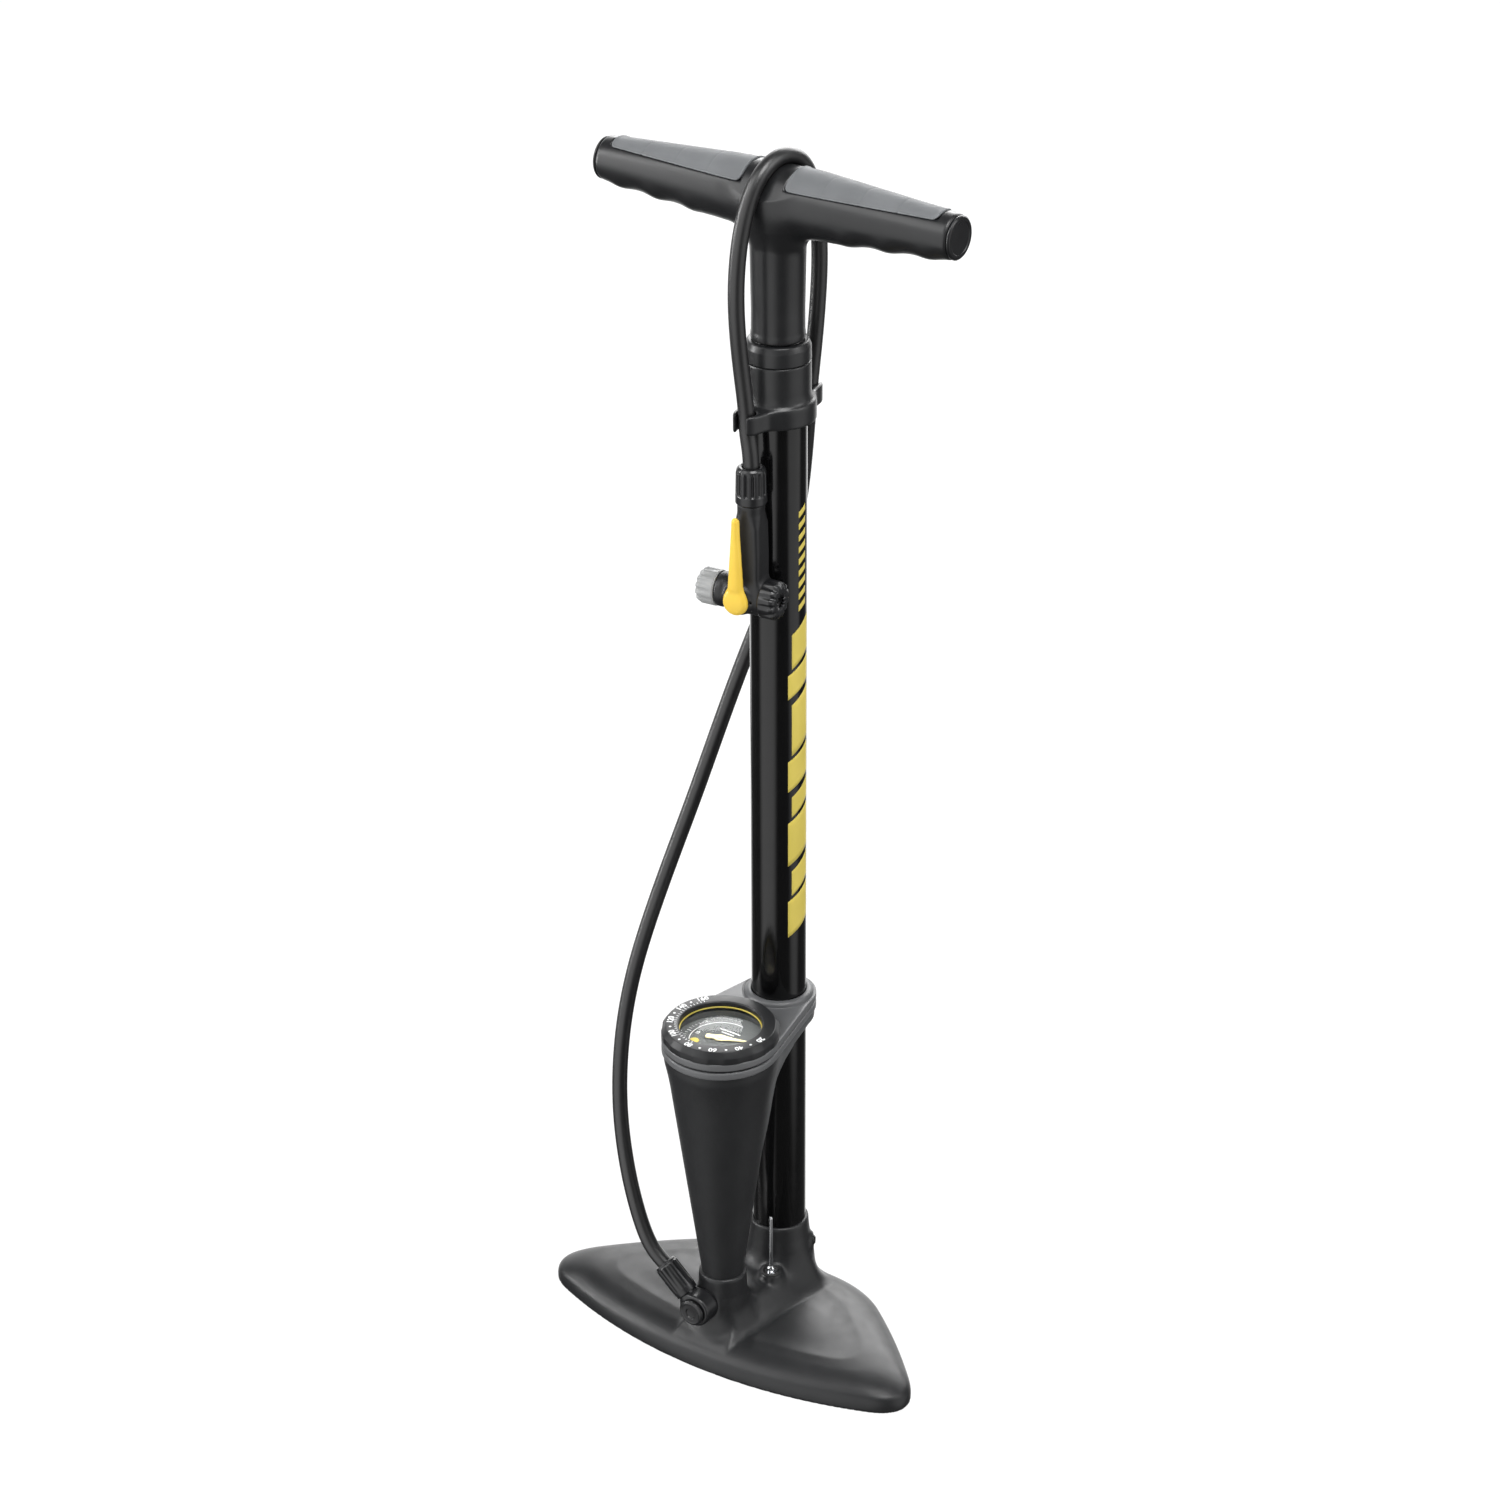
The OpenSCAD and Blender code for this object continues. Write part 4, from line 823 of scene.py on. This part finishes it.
def band_field(low, high, inset, ring):
    """A band round the post's top and the barrel, with a raised ring round the barrel."""
    def field(p):
        x, y, z = p.T
        r = np.hypot(x, y)
        flat = np.abs(z - (low + high) / 2) - (high - low) / 2
        solid = soft_max(teardrop(x, y, BAND_R - inset, RING_R - inset), flat, 1.0)
        if ring:
            collar = soft_max(r - 19.0 + 0.5 * np.clip(z - high, 0, 3), np.abs(z - high) - 2.2, 1.6)
            solid = soft_min(solid, collar, 0.3)
            groove = np.hypot(r - 19.5, z - high) - 0.6
            solid = soft_max(solid, -groove, 0.25)
        solid = soft_max(solid, low - z, 0.4)
        solid = soft_max(solid, BARREL_R + 0.12 - r, 0.3)
        return soft_max(solid, 25.1 - np.hypot(x, y + POST_Y), 0.3)
    return field


SEAM_FOOT = POST_TOP + BAND_T
TOP_FOOT = SEAM_FOOT + GASKET_T
STEPS, TOP_STEPS = (1.3, 0.8), (1.3 * 0.7, 0.8 * 0.7)
# Each band: its piece, node, foot, height, growth into its neighbours, inset, steps and finish.
BANDS = (
    ("bracket_band_low", "bracket_lower", POST_TOP, BAND_T, 0, 0, STEPS, bracket_grey),
    ("bracket_seam", "bracket_gasket", SEAM_FOOT, GASKET_T, 0.3, 1.3, STEPS, black_plastic),
    ("bracket_band_high", "bracket_upper", TOP_FOOT, BAND_T, 0, 0, TOP_STEPS, bracket_grey),
)
for name, node, foot, tall, grow, inset, steps, plastic in BANDS:
    top = foot + tall
    cast(name, band_field(foot - grow, top + grow, inset, foot == TOP_FOOT),
         (-33, -88.5, foot - grow), (33, 21.5, top + 2.5), steps, "base", plastic, [node])


# ---- gauge

GAUGE = (0, -POST_Y, 0)
BEZEL_TOP, BEZEL_R, OPENING_R = BAND_TOP + 6.7, 32.0, 22.4
DIAL_Z = BAND_TOP - 4.4
gauge_at = Matrix.Translation(Vector(GAUGE) * MM)


def lobes(angles, z, r):
    """Shallow finger lobes round the bezel's chamfer."""
    share = step_up((r - 29.0) / 1.4) * (0.35 + 0.65 * step_up((BEZEL_TOP - 0.4 - z) / 2.5))
    return 1 - 0.014 * share * np.clip(np.cos(angles * 12), 0, 1) ** 0.7


lathe("bezel_ring", [(OPENING_R + 0.9, BAND_TOP + 0.02, 0), (BEZEL_R, BAND_TOP + 0.02, 0.3),
      (BEZEL_R, BEZEL_TOP - 3.2, 0.6), (BEZEL_R - 2.4, BEZEL_TOP - 0.05, 0.7),
      (OPENING_R + 0.6, BEZEL_TOP, 0.4), (OPENING_R, BEZEL_TOP - 0.6, 0.3),
      (OPENING_R, BAND_TOP + 2.2, 0)], "base", bezel_plastic, ["gauge_bezel"],
      gauge_at, sides=192, wave=lobes)

lathe("bezel_inlay", [(OPENING_R - 0.55, BEZEL_TOP - 3.6, 0.1),
      (OPENING_R + 0.05, BEZEL_TOP - 3.6, 0.1), (OPENING_R + 0.05, BEZEL_TOP - 3.0, 0.1),
      (OPENING_R - 0.55, BEZEL_TOP - 3.1, 0.1)], "base", print_yellow,
      ["dial_ring"], gauge_at, sides=160)

lathe("dial_plate", [(0, DIAL_Z, 0), (23.9, DIAL_Z, 0.1), (23.9, DIAL_Z + 0.8, 0.15),
      (0, DIAL_Z + 0.8, 0)], "base", dial_paint, ["dial_face"], gauge_at, sides=128)

LENS_Z = BAND_TOP + 1.2
lens = lathe("gauge_window", [(0, LENS_Z + 2.5, 0), (12, LENS_Z + 1.6, 6), (20.5, LENS_Z, 1),
             (24.5, LENS_Z, 0.2), (24.5, LENS_Z + 1.0, 0.2), (21.0, LENS_Z + 1.0, 0.6),
             (12, LENS_Z + 2.6, 6), (0, LENS_Z + 3.5, 0)], "base", lens_glass,
             ["gauge_lens"], gauge_at, sides=128)
lens.visible_shadow = False


def slab(outline, low, high):
    """A flat plate from its outline, anticlockwise in X and Y."""
    count = len(outline)
    points = [(x, y, low) for x, y in outline] + [(x, y, high) for x, y in outline]
    faces = [tuple(range(count))[::-1], tuple(range(count, 2 * count))]
    faces += [(i, (i + 1) % count, count + (i + 1) % count, count + i) for i in range(count)]
    return points, faces


def turned_by(part, angle, at=(0, 0)):
    """A part moved to a place and turned about Z."""
    points, faces = part
    c, s = math.cos(angle), math.sin(angle)
    return [(at[0] + x * c - y * s, at[1] + x * s + y * c, z) for x, y, z in points], faces


def lettering(text, size, at, angle, low, high):
    """A plain number as thin raised print."""
    curve = bpy.data.curves.new("print", "FONT")
    curve.body, curve.size = text, size
    curve.align_x, curve.align_y = "CENTER", "CENTER"
    curve.offset = 0.028 * size
    curve.resolution_u = 3
    holder = bpy.data.objects.new("print", curve)
    flat = holder.to_mesh()
    top = [(v.co.x, v.co.y) for v in flat.vertices]
    tris = [tuple(f.vertices) for f in flat.polygons]
    holder.to_mesh_clear()
    bpy.data.objects.remove(holder)
    bpy.data.curves.remove(curve)
    count = len(top)
    points = [(x, y, high) for x, y in top] + [(x, y, low) for x, y in top]
    used = {}
    for face in tris:
        for a, b in zip(face, face[1:] + face[:1]):
            used[(a, b)] = used.get((a, b), 0) + 1
    rim = [(a, b) for a, b in used if (b, a) not in used]
    faces = tris + [tuple(i + count for i in face[::-1]) for face in tris]
    faces += [(b, a, a + count, b + count) for a, b in rim]
    return turned_by((points, faces), angle, at)


def polar(r, angle):
    return r * math.cos(angle), r * math.sin(angle)


def dot(r, at, low, high, sides=14):
    ring = [(at[0] + r * math.cos(2 * math.pi * i / sides), at[1] + r * math.sin(2 * math.pi * i / sides))
            for i in range(sides)]
    return slab(ring, low, high)


def tick(r0, r1, width, angle, low, high):
    bar = slab([(r0, -width / 2), (r1, -width / 2), (r1, width / 2), (r0, width / 2)], low, high)
    return turned_by(bar, angle)


# The bezel's scale runs clockwise from the right; its numbers' tops point outwards.
print_low, print_high = BEZEL_TOP - 0.25, BEZEL_TOP + 0.02
parts = []
for i in range(8):
    angle = math.radians(-4 - 30 * i)
    number = str(20 * (i + 1))
    parts.append(lettering(number, 4.6, polar(27.1, angle), angle - math.pi / 2, print_low, print_high))
    if i < 7:
        parts.append(dot(0.72, polar(27.2, angle - math.radians(15)), print_low, print_high))
for i in range(25):
    angle = math.radians(-94 - 5 * i)
    parts.append(tick(23.7, 25.0 if i % 6 else 25.3, 0.36, angle, print_low, print_high))
make("bezel_scale", *joined(parts), "base", print_white, (), gauge_at)

# The dial has its own finer scale: an arc, ticks and small numbers, and a yellow spot.
low, high = DIAL_Z + 0.7, DIAL_Z + 0.86
parts = []
arc = [polar(17.4, math.radians(a)) for a in range(80, 231, 5)]
arc += [polar(16.9, math.radians(a)) for a in range(230, 79, -5)]
parts.append(slab(arc, low, high))
for i in range(37):
    angle = math.radians(17 - 6.4 * i)
    major = i % 6 == 0
    parts.append(tick(18.4 if major else 19.4, 21.0, 0.5 if major else 0.26, angle, low, high))
for i in range(0, 12, 2):
    angle = math.radians(17 - 19.2 * i)
    parts.append(lettering(str(i), 3.0, polar(14.2, angle), angle - math.pi / 2, low, high))
for row, width in ((8.6, 13.0), (6.2, 8.0)):
    half = width / 2
    parts.append(slab([(-half, row), (half, row), (half, row + 0.9), (-half, row + 0.9)], low, high))
make("dial_scale", *joined(parts), "base", print_white, (), gauge_at)
lathe("dial_spot", [(0, low, 0), (2.7, low, 0), (2.6, low + 0.4, 0.3), (1.4, low + 0.72, 0.6),
      (0, low + 0.78, 0)], "base", print_yellow, (),
      gauge_at @ Matrix.Translation(Vector((-11.2, -8.9, 0)) * MM), sides=32)

NEEDLE_Z = DIAL_Z + 1.6
outline = [(16.3, 0.25), (9.0, 0.95), (2.6, 1.9), (1.2, 2.55),
           (-1.2, 2.55), (-3.4, 1.7), (-7.6, 1.75), (-8.4, 1.1)]
outline = outline + [(x, -y) for x, y in outline[::-1]]
parts = [slab(outline, NEEDLE_Z, NEEDLE_Z + 0.55)]
parts.append(turned([(0, NEEDLE_Z + 0.5, 0), (2.0, NEEDLE_Z + 0.5, 0), (1.8, NEEDLE_Z + 1.2, 0.4),
                     (0, NEEDLE_Z + 1.3, 0)], sides=32))
make("gauge_pointer", *joined(parts), "needle", needle_cream, ["gauge_needle"],
     gauge_at @ Matrix.Rotation(math.radians(17), 4, "Z"), flat=True)


# ---- elbow and the base's hose nut

SEAT_Y = 67.35
SEAL_T, ELBOW_R, ELBOW_LEN = 1.0, 9.5, 11.0
front_at = axes((ELBOW[0], -SEAT_Y, ELBOW[2]), -Y, X)


def elbow_field(p):
    disc = drum(p, (ELBOW[0], -SEAT_Y - SEAL_T, ELBOW[2]), -Y, ELBOW_R, 0, ELBOW_LEN, 0.7)
    stub = drum(p, ELBOW, NUT_DIR, 5.2, 0, 13.6, 0.3)
    return soft_max(soft_min(disc, stub, 2.5), 2.6 - off_axis(p, ELBOW, -Y)[1], 0.2)


cast("elbow_joint", elbow_field, ELBOW - (17, 7, 10), ELBOW + (10, 7, 17), (1.0, 0.55), "base",
     black_plastic, ["elbow"])

FACE = SEAL_T * 2 + ELBOW_LEN
lathe("banjo_cap", [(0, -8, 0), (2.5, -8, 0), (2.5, FACE, 0), (7.6, FACE, 0.15),
      (7.6, FACE + 1.2, 0.5), (6.2, FACE + 2.0, 0.4), (5.4, FACE + 1.75, 0.2),
      (3.2, FACE + 1.75, 0.2), (2.9, FACE + 1.1, 0.2), (0, FACE + 1.1, 0)], "base",
      black_plastic, ["banjo_bolt"], front_at, sides=72)

lathe("base_nut", [(4.65, 10.1, 0), (6.4, 10.1, 0.4), (6.8, 13.4, 0.5), (6.8, 28.6, 0.7),
      (6.3, 29.4, 0.3), (6.3, 30.4, 0.5), (5.4, 31, 0.3), (4.55, 30.6, 0.2), (4.55, 23, 0)], "base",
      black_plastic, ["base_hose_nut"], axes(ELBOW, NUT_DIR, Y), sides=112,
      steps=4, wave=fluted(12, 1.3, 14.2, 28.8, 0.8, -0.1))


# ---- valve head

head_turn = Matrix.Rotation(HEAD_TURN, 4, "Z")
head_at = Matrix.Translation(Vector(HEAD) * MM) @ head_turn
CROSS = np.array(head_turn.to_3x3() @ Vector((1, 0, 0)))
PIVOT_X, LEVER_FACE = -3.0, 10.7
CROSS_LEFT, CROSS_RIGHT, CAP_LEFT, CAP_RIGHT = -18.0, 8.0, -29.2, 17.4


def head_field(p):
    x, y, z = p.T
    # the stem is round at its neck and a flattened box below it
    wide = np.interp(z, [0, 12, 24, 40, 47], [8.0, 7.2, 7.3, 7.0, 6.6])
    corner = np.interp(z, [10, 20, 40, 47], [2.2, 2.2, 2.6, 5.5])
    across, ahead = np.abs(x) - wide + corner, np.abs(y) - 6.9 + corner
    box = np.hypot(np.maximum(across, 0), np.maximum(ahead, 0)) - corner
    stem = soft_max(box, np.abs(z - 26) - 25.9, 0.8)
    cross = drum(p, (0, 0, 0), X, 8.8, CROSS_LEFT + 0.1, CROSS_RIGHT - 0.1, 0.6)
    neck = drum(p, (0, 0, 0), X, 9.25, CROSS_LEFT + 0.1, -13.5, 0.7)
    shoulder = np.linalg.norm((p - (4.2, 0, 0)) * (0.8, 1, 1), axis=1) - 9.7
    boss = drum(p, (PIVOT_X, 0, 0), -Y, 8.2, -8.4, LEVER_FACE - 0.35, 0.9)
    ring = drum(p, (0, 0, 0), Z, 6.7, 49.5, 51.9, 0.4)
    solid = soft_min(soft_min(cross, shoulder, 2.0), boss, 2.4)
    solid = soft_min(soft_min(solid, stem, 3.5), soft_min(neck, ring, 0.1), 0.8)
    pin = np.hypot(np.hypot(x - 4.6, z - 0.6), y + 9.6) - 0.9
    solid = soft_max(solid, -pin, 0.2)
    spigot = drum(p, (0, 0, 0), X, 7.0, CAP_LEFT + 3, CAP_RIGHT - 3, 0.3)
    solid = soft_min(solid, spigot, 0.3)
    solid = soft_max(solid, 5.5 - np.hypot(y, z), 0.2)
    shaft = soft_max(np.hypot(x - PIVOT_X, z) - 2.6, np.abs(y) - 14, 0.1)
    return soft_max(solid, -shaft, 0.1)


cast("head_casting", head_field, (-27, -11, -10), (15, 10, 52), (1.2, 0.7), "base",
     head_plastic, ["head_body"], head_at)

lathe("head_nut", [(4.65, 52.05, 0), (7.8, 52.05, 0.3), (8.2, 52.8, 0.4), (8.15, 56.6, 0.4),
      (8.0, 57.2, 0.3), (8.0, 58.0, 0.4), (7.8, 68.6, 1.2), (7.4, 70.8, 1.2), (6.2, 72.0, 0.8),
      (4.6, 71.7, 0.3), (4.6, 64, 0)], "base", black_plastic, ["head_hose_nut"],
      head_at, sides=144, steps=6, wave=fluted(13, 1.25, 57.0, 70.4, 0.9, 0.0))


def lever_field(p):
    x, y, z = p.T
    x = x - PIVOT_X
    out = -y - LEVER_FACE
    along_arm = np.clip(z, 0, 44.8)
    arm = np.hypot(x, z - along_arm) - mix(4.6, 2.2, step_up(along_arm / 44.8) * 0.5 + along_arm / 89.6)
    hub = np.hypot(x, z) - 6.8
    plan = soft_min(arm, hub, 4.0)
    dome = 4.2 - 0.022 * (x ** 2 + z ** 2)
    ridge = np.interp(z, [2, 8, 16, 30, 47], [3.0, 3.9, 3.5, 3.2, 2.6]) - 0.06 * x ** 2
    solid = soft_max(plan, out - soft_max(dome, ridge, 0.5), 2.4)
    solid = soft_max(solid, -out, 0.6)
    return soft_max(solid, -soft_max(np.hypot(x, z) - 2.55, out - 2.5, 0.1), 0.1)


cast("lever_arm", lever_field, (-11, -15.2, -8), (5, -10.5, 48), (0.8, 0.45), "lever",
     yellow, ["lock_lever"], head_at)


def cap(name, node, r, length, flutes, depth, sharp, plain, finish, at):
    """A screw cap, its grip notched from its plain foot to its mouth."""
    lathe(name, [(7.1, 0.05, 0), (r - 0.3, 0.05, 0.2), (r, 0.9, 0.4), (r, length - 2.4, 0.8),
                 (r - 0.9, length - 0.7, 0.7), (r - 2.4, length, 0.6), (CAP_MOUTH + 0.6, length, 0.4),
                 (CAP_MOUTH, length - 0.7, 0.4), (CAP_MOUTH, length - 2.0, 0.1), (7.1, length - 2.05, 0)],
          "base", finish, [node], at, sides=144,
          wave=fluted(flutes, depth, plain, length + 0.6, 0.9, sharp))


CAP_MOUTH = 4.4
cap("left_cap", "left_valve_cap", 9.6, CROSS_LEFT - CAP_LEFT, 13, 1.1, -0.6, 3.2, cap_grey,
    axes(HEAD + CROSS_LEFT * CROSS, -CROSS, Z))
cap("right_cap", "right_valve_cap", 10.3, CAP_RIGHT - CROSS_RIGHT, 12, 1.5, -0.2, 1.4,
    black_plastic, axes(HEAD + CROSS_RIGHT * CROSS, CROSS, Z))
for name, node, bore, start, end, toward in (
        ("left_seal", "left_valve_seal", 2.9, -CROSS_LEFT + 0.2, -CAP_LEFT - 2.2, -CROSS),
        ("right_seal", "right_valve_seal", 3.8, CROSS_RIGHT - 1, CAP_RIGHT - 2.2, CROSS)):
    lathe(name, [(bore, start, 0.2), (5.42, start, 0.2), (5.42, end, 0.3), (bore + 0.5, end, 0.5),
          (bore, end - 0.5, 0.3)], "base", rubber, [node], axes(HEAD, toward, Z),
          sides=72)


# ---- handle

HALF_HANDLE = 104.5
NECK_FOOT, NECK_R = 584.5, 13.8
PAD_FROM, PAD_TO, PAD_FOOT, PAD_DEPTH = 13.0, 97.5, HANDLE_Z + 9.5, 2.2
PAD_LINES = np.arange(PAD_FROM + 21, PAD_TO - 4, 21)
BUMPS = (46.0, 69.0, 92.0)


def grip(p):
    """Distance from the handle's round skin, with finger bumps under it."""
    x, y, z = p.T
    x = np.abs(x)
    r = np.interp(x, [0, 20, 26, 104.5], [17.2, 17.2, 16.95, 11.7])
    under = step_up((HANDLE_Z - 2 - z) / 9)
    ripple = sum(np.exp(-((x - at) / 6.5) ** 2) for at in BUMPS)
    r = r + under * (1.25 * ripple - 0.55 * step_up((x - 36) / 8))
    return (np.hypot(y, z - HANDLE_Z) - r) * 0.97


def handle_field(p):
    x, y, z = p.T
    skin = grip(p)
    solid = soft_max(skin, np.abs(x) - HALF_HANDLE + 0.05, 2.0)
    neck_r = np.interp(z, [584, 600, 634, 645], [NECK_R, NECK_R - 0.1, NECK_R + 0.5, NECK_R + 2.2])
    neck = soft_max(np.hypot(x, y) - neck_r, np.maximum(NECK_FOOT - z, z - HANDLE_Z), 0.5)
    solid = soft_min(solid, neck, 11.0)
    lip = drum(p, (0, 0, NECK_FOOT), Z, NECK_R + 0.2, 0, 4.0, 0.5)
    solid = soft_min(solid, lip, 0.4)
    beyond = np.abs(np.abs(x) - (PAD_FROM + PAD_TO) / 2) - (PAD_TO - PAD_FROM) / 2
    window = np.maximum(beyond - 0.05, PAD_FOOT - 0.05 - z)
    recess = np.maximum(window, -(skin + PAD_DEPTH + 0.05))
    solid = soft_max(solid, -recess, 0.4)
    hole = np.maximum(np.hypot(x, y) - 6.1, z - 652)
    solid = soft_max(solid, -hole, 0.3)
    ends = np.maximum(np.hypot(y, z - HANDLE_Z) - 9.6, HALF_HANDLE - 8 - np.abs(x))
    return soft_max(solid, -ends, 0.3)


cast("handle_body", handle_field, (-HALF_HANDLE - 1, -22, NECK_FOOT - 1),
     (HALF_HANDLE + 1, 22, HANDLE_Z + 20), (1.6, 0.9), "plunger", handle_plastic,
     ["handle_core"])


def pad_field(side):
    def field(p):
        x, y, z = p.T
        skin = grip(p)
        lines = sum(np.exp(-((side * x - at) / 0.55) ** 2) for at in PAD_LINES)
        ends = np.abs(side * x - (PAD_FROM + PAD_TO) / 2) - (PAD_TO - PAD_FROM) / 2
        rim = soft_max(ends, (PAD_FOOT - z) * 0.8, 3.0)
        lip = np.exp(-((rim + 0.55) / 0.5) ** 2)
        solid = soft_max(skin - 0.1 - 0.5 * lip + 0.25 * lines, -(skin + PAD_DEPTH), 0.2)
        return soft_max(solid, rim, 0.4)
    return field


for side, hand in ((-1, "left"), (1, "right")):
    ends = sorted((side * PAD_FROM, side * PAD_TO))
    cast("pad_" + hand, pad_field(side), (ends[0] - 1, -16, PAD_FOOT - 1), (ends[1] + 1, 16, HANDLE_Z + 19),
         (1.2, 0.5), "plunger", pad_rubber, ["grip_pad_" + hand])
    lathe("end_disc_" + hand, [(0, -7.5, 0), (9.45, -7.5, 0.3), (9.45, 0.25, 0),
          (11.0, 0.25, 0.2), (11.1, 1.0, 0.4), (10.3, 1.75, 0.6), (8.6, 1.8, 0.2), (8.2, 1.5, 0.2),
          (0, 1.45, 0)], "plunger", black_plastic, ["end_plug_" + hand],
          axes((side * HALF_HANDLE, 0, HANDLE_Z), side * X, Z), sides=96)


# ---- ball needle, its seat and its grommet

bush_at = Matrix.Translation(Vector(BUSH) * MM)
lathe("inflating_needle", [(0, 24, 0), (1.85, 24, 0.2), (1.85, 34.2, 0), (2.1, 34.6, 0.2),
      (2.1, 35.6, 0.4), (1.3, 36.4, 0.3), (1.0, 37.0, 0.2), (1.0, 68.6, 0.4), (0.6, 69.8, 0.4),
      (0, 70, 0)], "ball_needle", chrome, ["ball_needle"], bush_at, sides=48)
lathe("needle_seat", [(1.95, 22.1, 0.1), (3.4, 22.1, 0.2), (3.4, 33.02, 0), (4.3, 33.02, 0.2),
      (4.3, 33.55, 0.2), (1.95, 33.55, 0.1)], "base", chrome, ["needle_bush"], bush_at,
      flat=True, sides=6)


lathe("needle_grommet", [(3.5, 31.5, 0), (5.3, 31.5, 0.2), (5.3, 33.3, 0.5), (4.6, 34.0, 0.4),
      (3.5, 33.6, 0.2)], "base", rubber, (), bush_at, sides=48)


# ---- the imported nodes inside

slot_of = {part["node"]: part["material_slot"] for part in frame["record"]["subparts"]}
for name, node in frame["nodes"].items():
    node.data.materials.clear()
    node.data.materials.append(by_slot[slot_of[name]])


# ---- a list of the valve head's pieces at the hose's end

on_cord = [bpy.data.objects[name] for name in (
    "head_casting", "head_nut", "left_cap", "right_cap", "left_seal", "right_seal", "lever_arm")]
on_cord += [frame["nodes"][name] for name in ("lever_shaft", "valve_pusher")]


# ---- floor and backdrop

STAGE_R, STAGE_SIDES, FLOOR_Z = 24.0, 64, -0.0002
# Paper: its colour and its glow.
FLOOR_PAPER, BACKDROP_PAPER = (0.15, 0.88), (0.0, 1.0)


def stage_piece(name, points, faces, paper):
    """Floor or backdrop: plain paper that the glossy plastics don't mirror."""
    mesh = bpy.data.meshes.new(name)
    mesh.from_pydata(points, [], faces)
    piece = bpy.data.objects.new(name, mesh)
    bpy.context.scene.collection.objects.link(piece)
    mat, _, base = shader(name + "_paper")
    colour, glow = paper
    base.inputs["Base Color"].default_value = (colour, colour, colour, 1)
    base.inputs["Roughness"].default_value = 0.9
    base.inputs["Specular IOR Level"].default_value = 0.1
    base.inputs["Emission Color"].default_value = (1, 1, 1, 1)
    base.inputs["Emission Strength"].default_value = glow
    mesh.materials.append(mat)
    piece.visible_glossy = False
    return piece


ring = [polar(STAGE_R, 2 * math.pi * i / STAGE_SIDES) for i in range(STAGE_SIDES)]
stage_piece("floor", [(x, y, FLOOR_Z) for x, y in ring], [tuple(range(STAGE_SIDES))], FLOOR_PAPER)
wall = [(i, (i + 1) % STAGE_SIDES, STAGE_SIDES + (i + 1) % STAGE_SIDES, STAGE_SIDES + i)
        for i in range(STAGE_SIDES)]
rings = [(x, y, z) for z in (FLOOR_Z, STAGE_R) for x, y in ring]
backdrop = stage_piece("backdrop", rings, wall, BACKDROP_PAPER)
backdrop.visible_diffuse = False
backdrop.visible_shadow = False
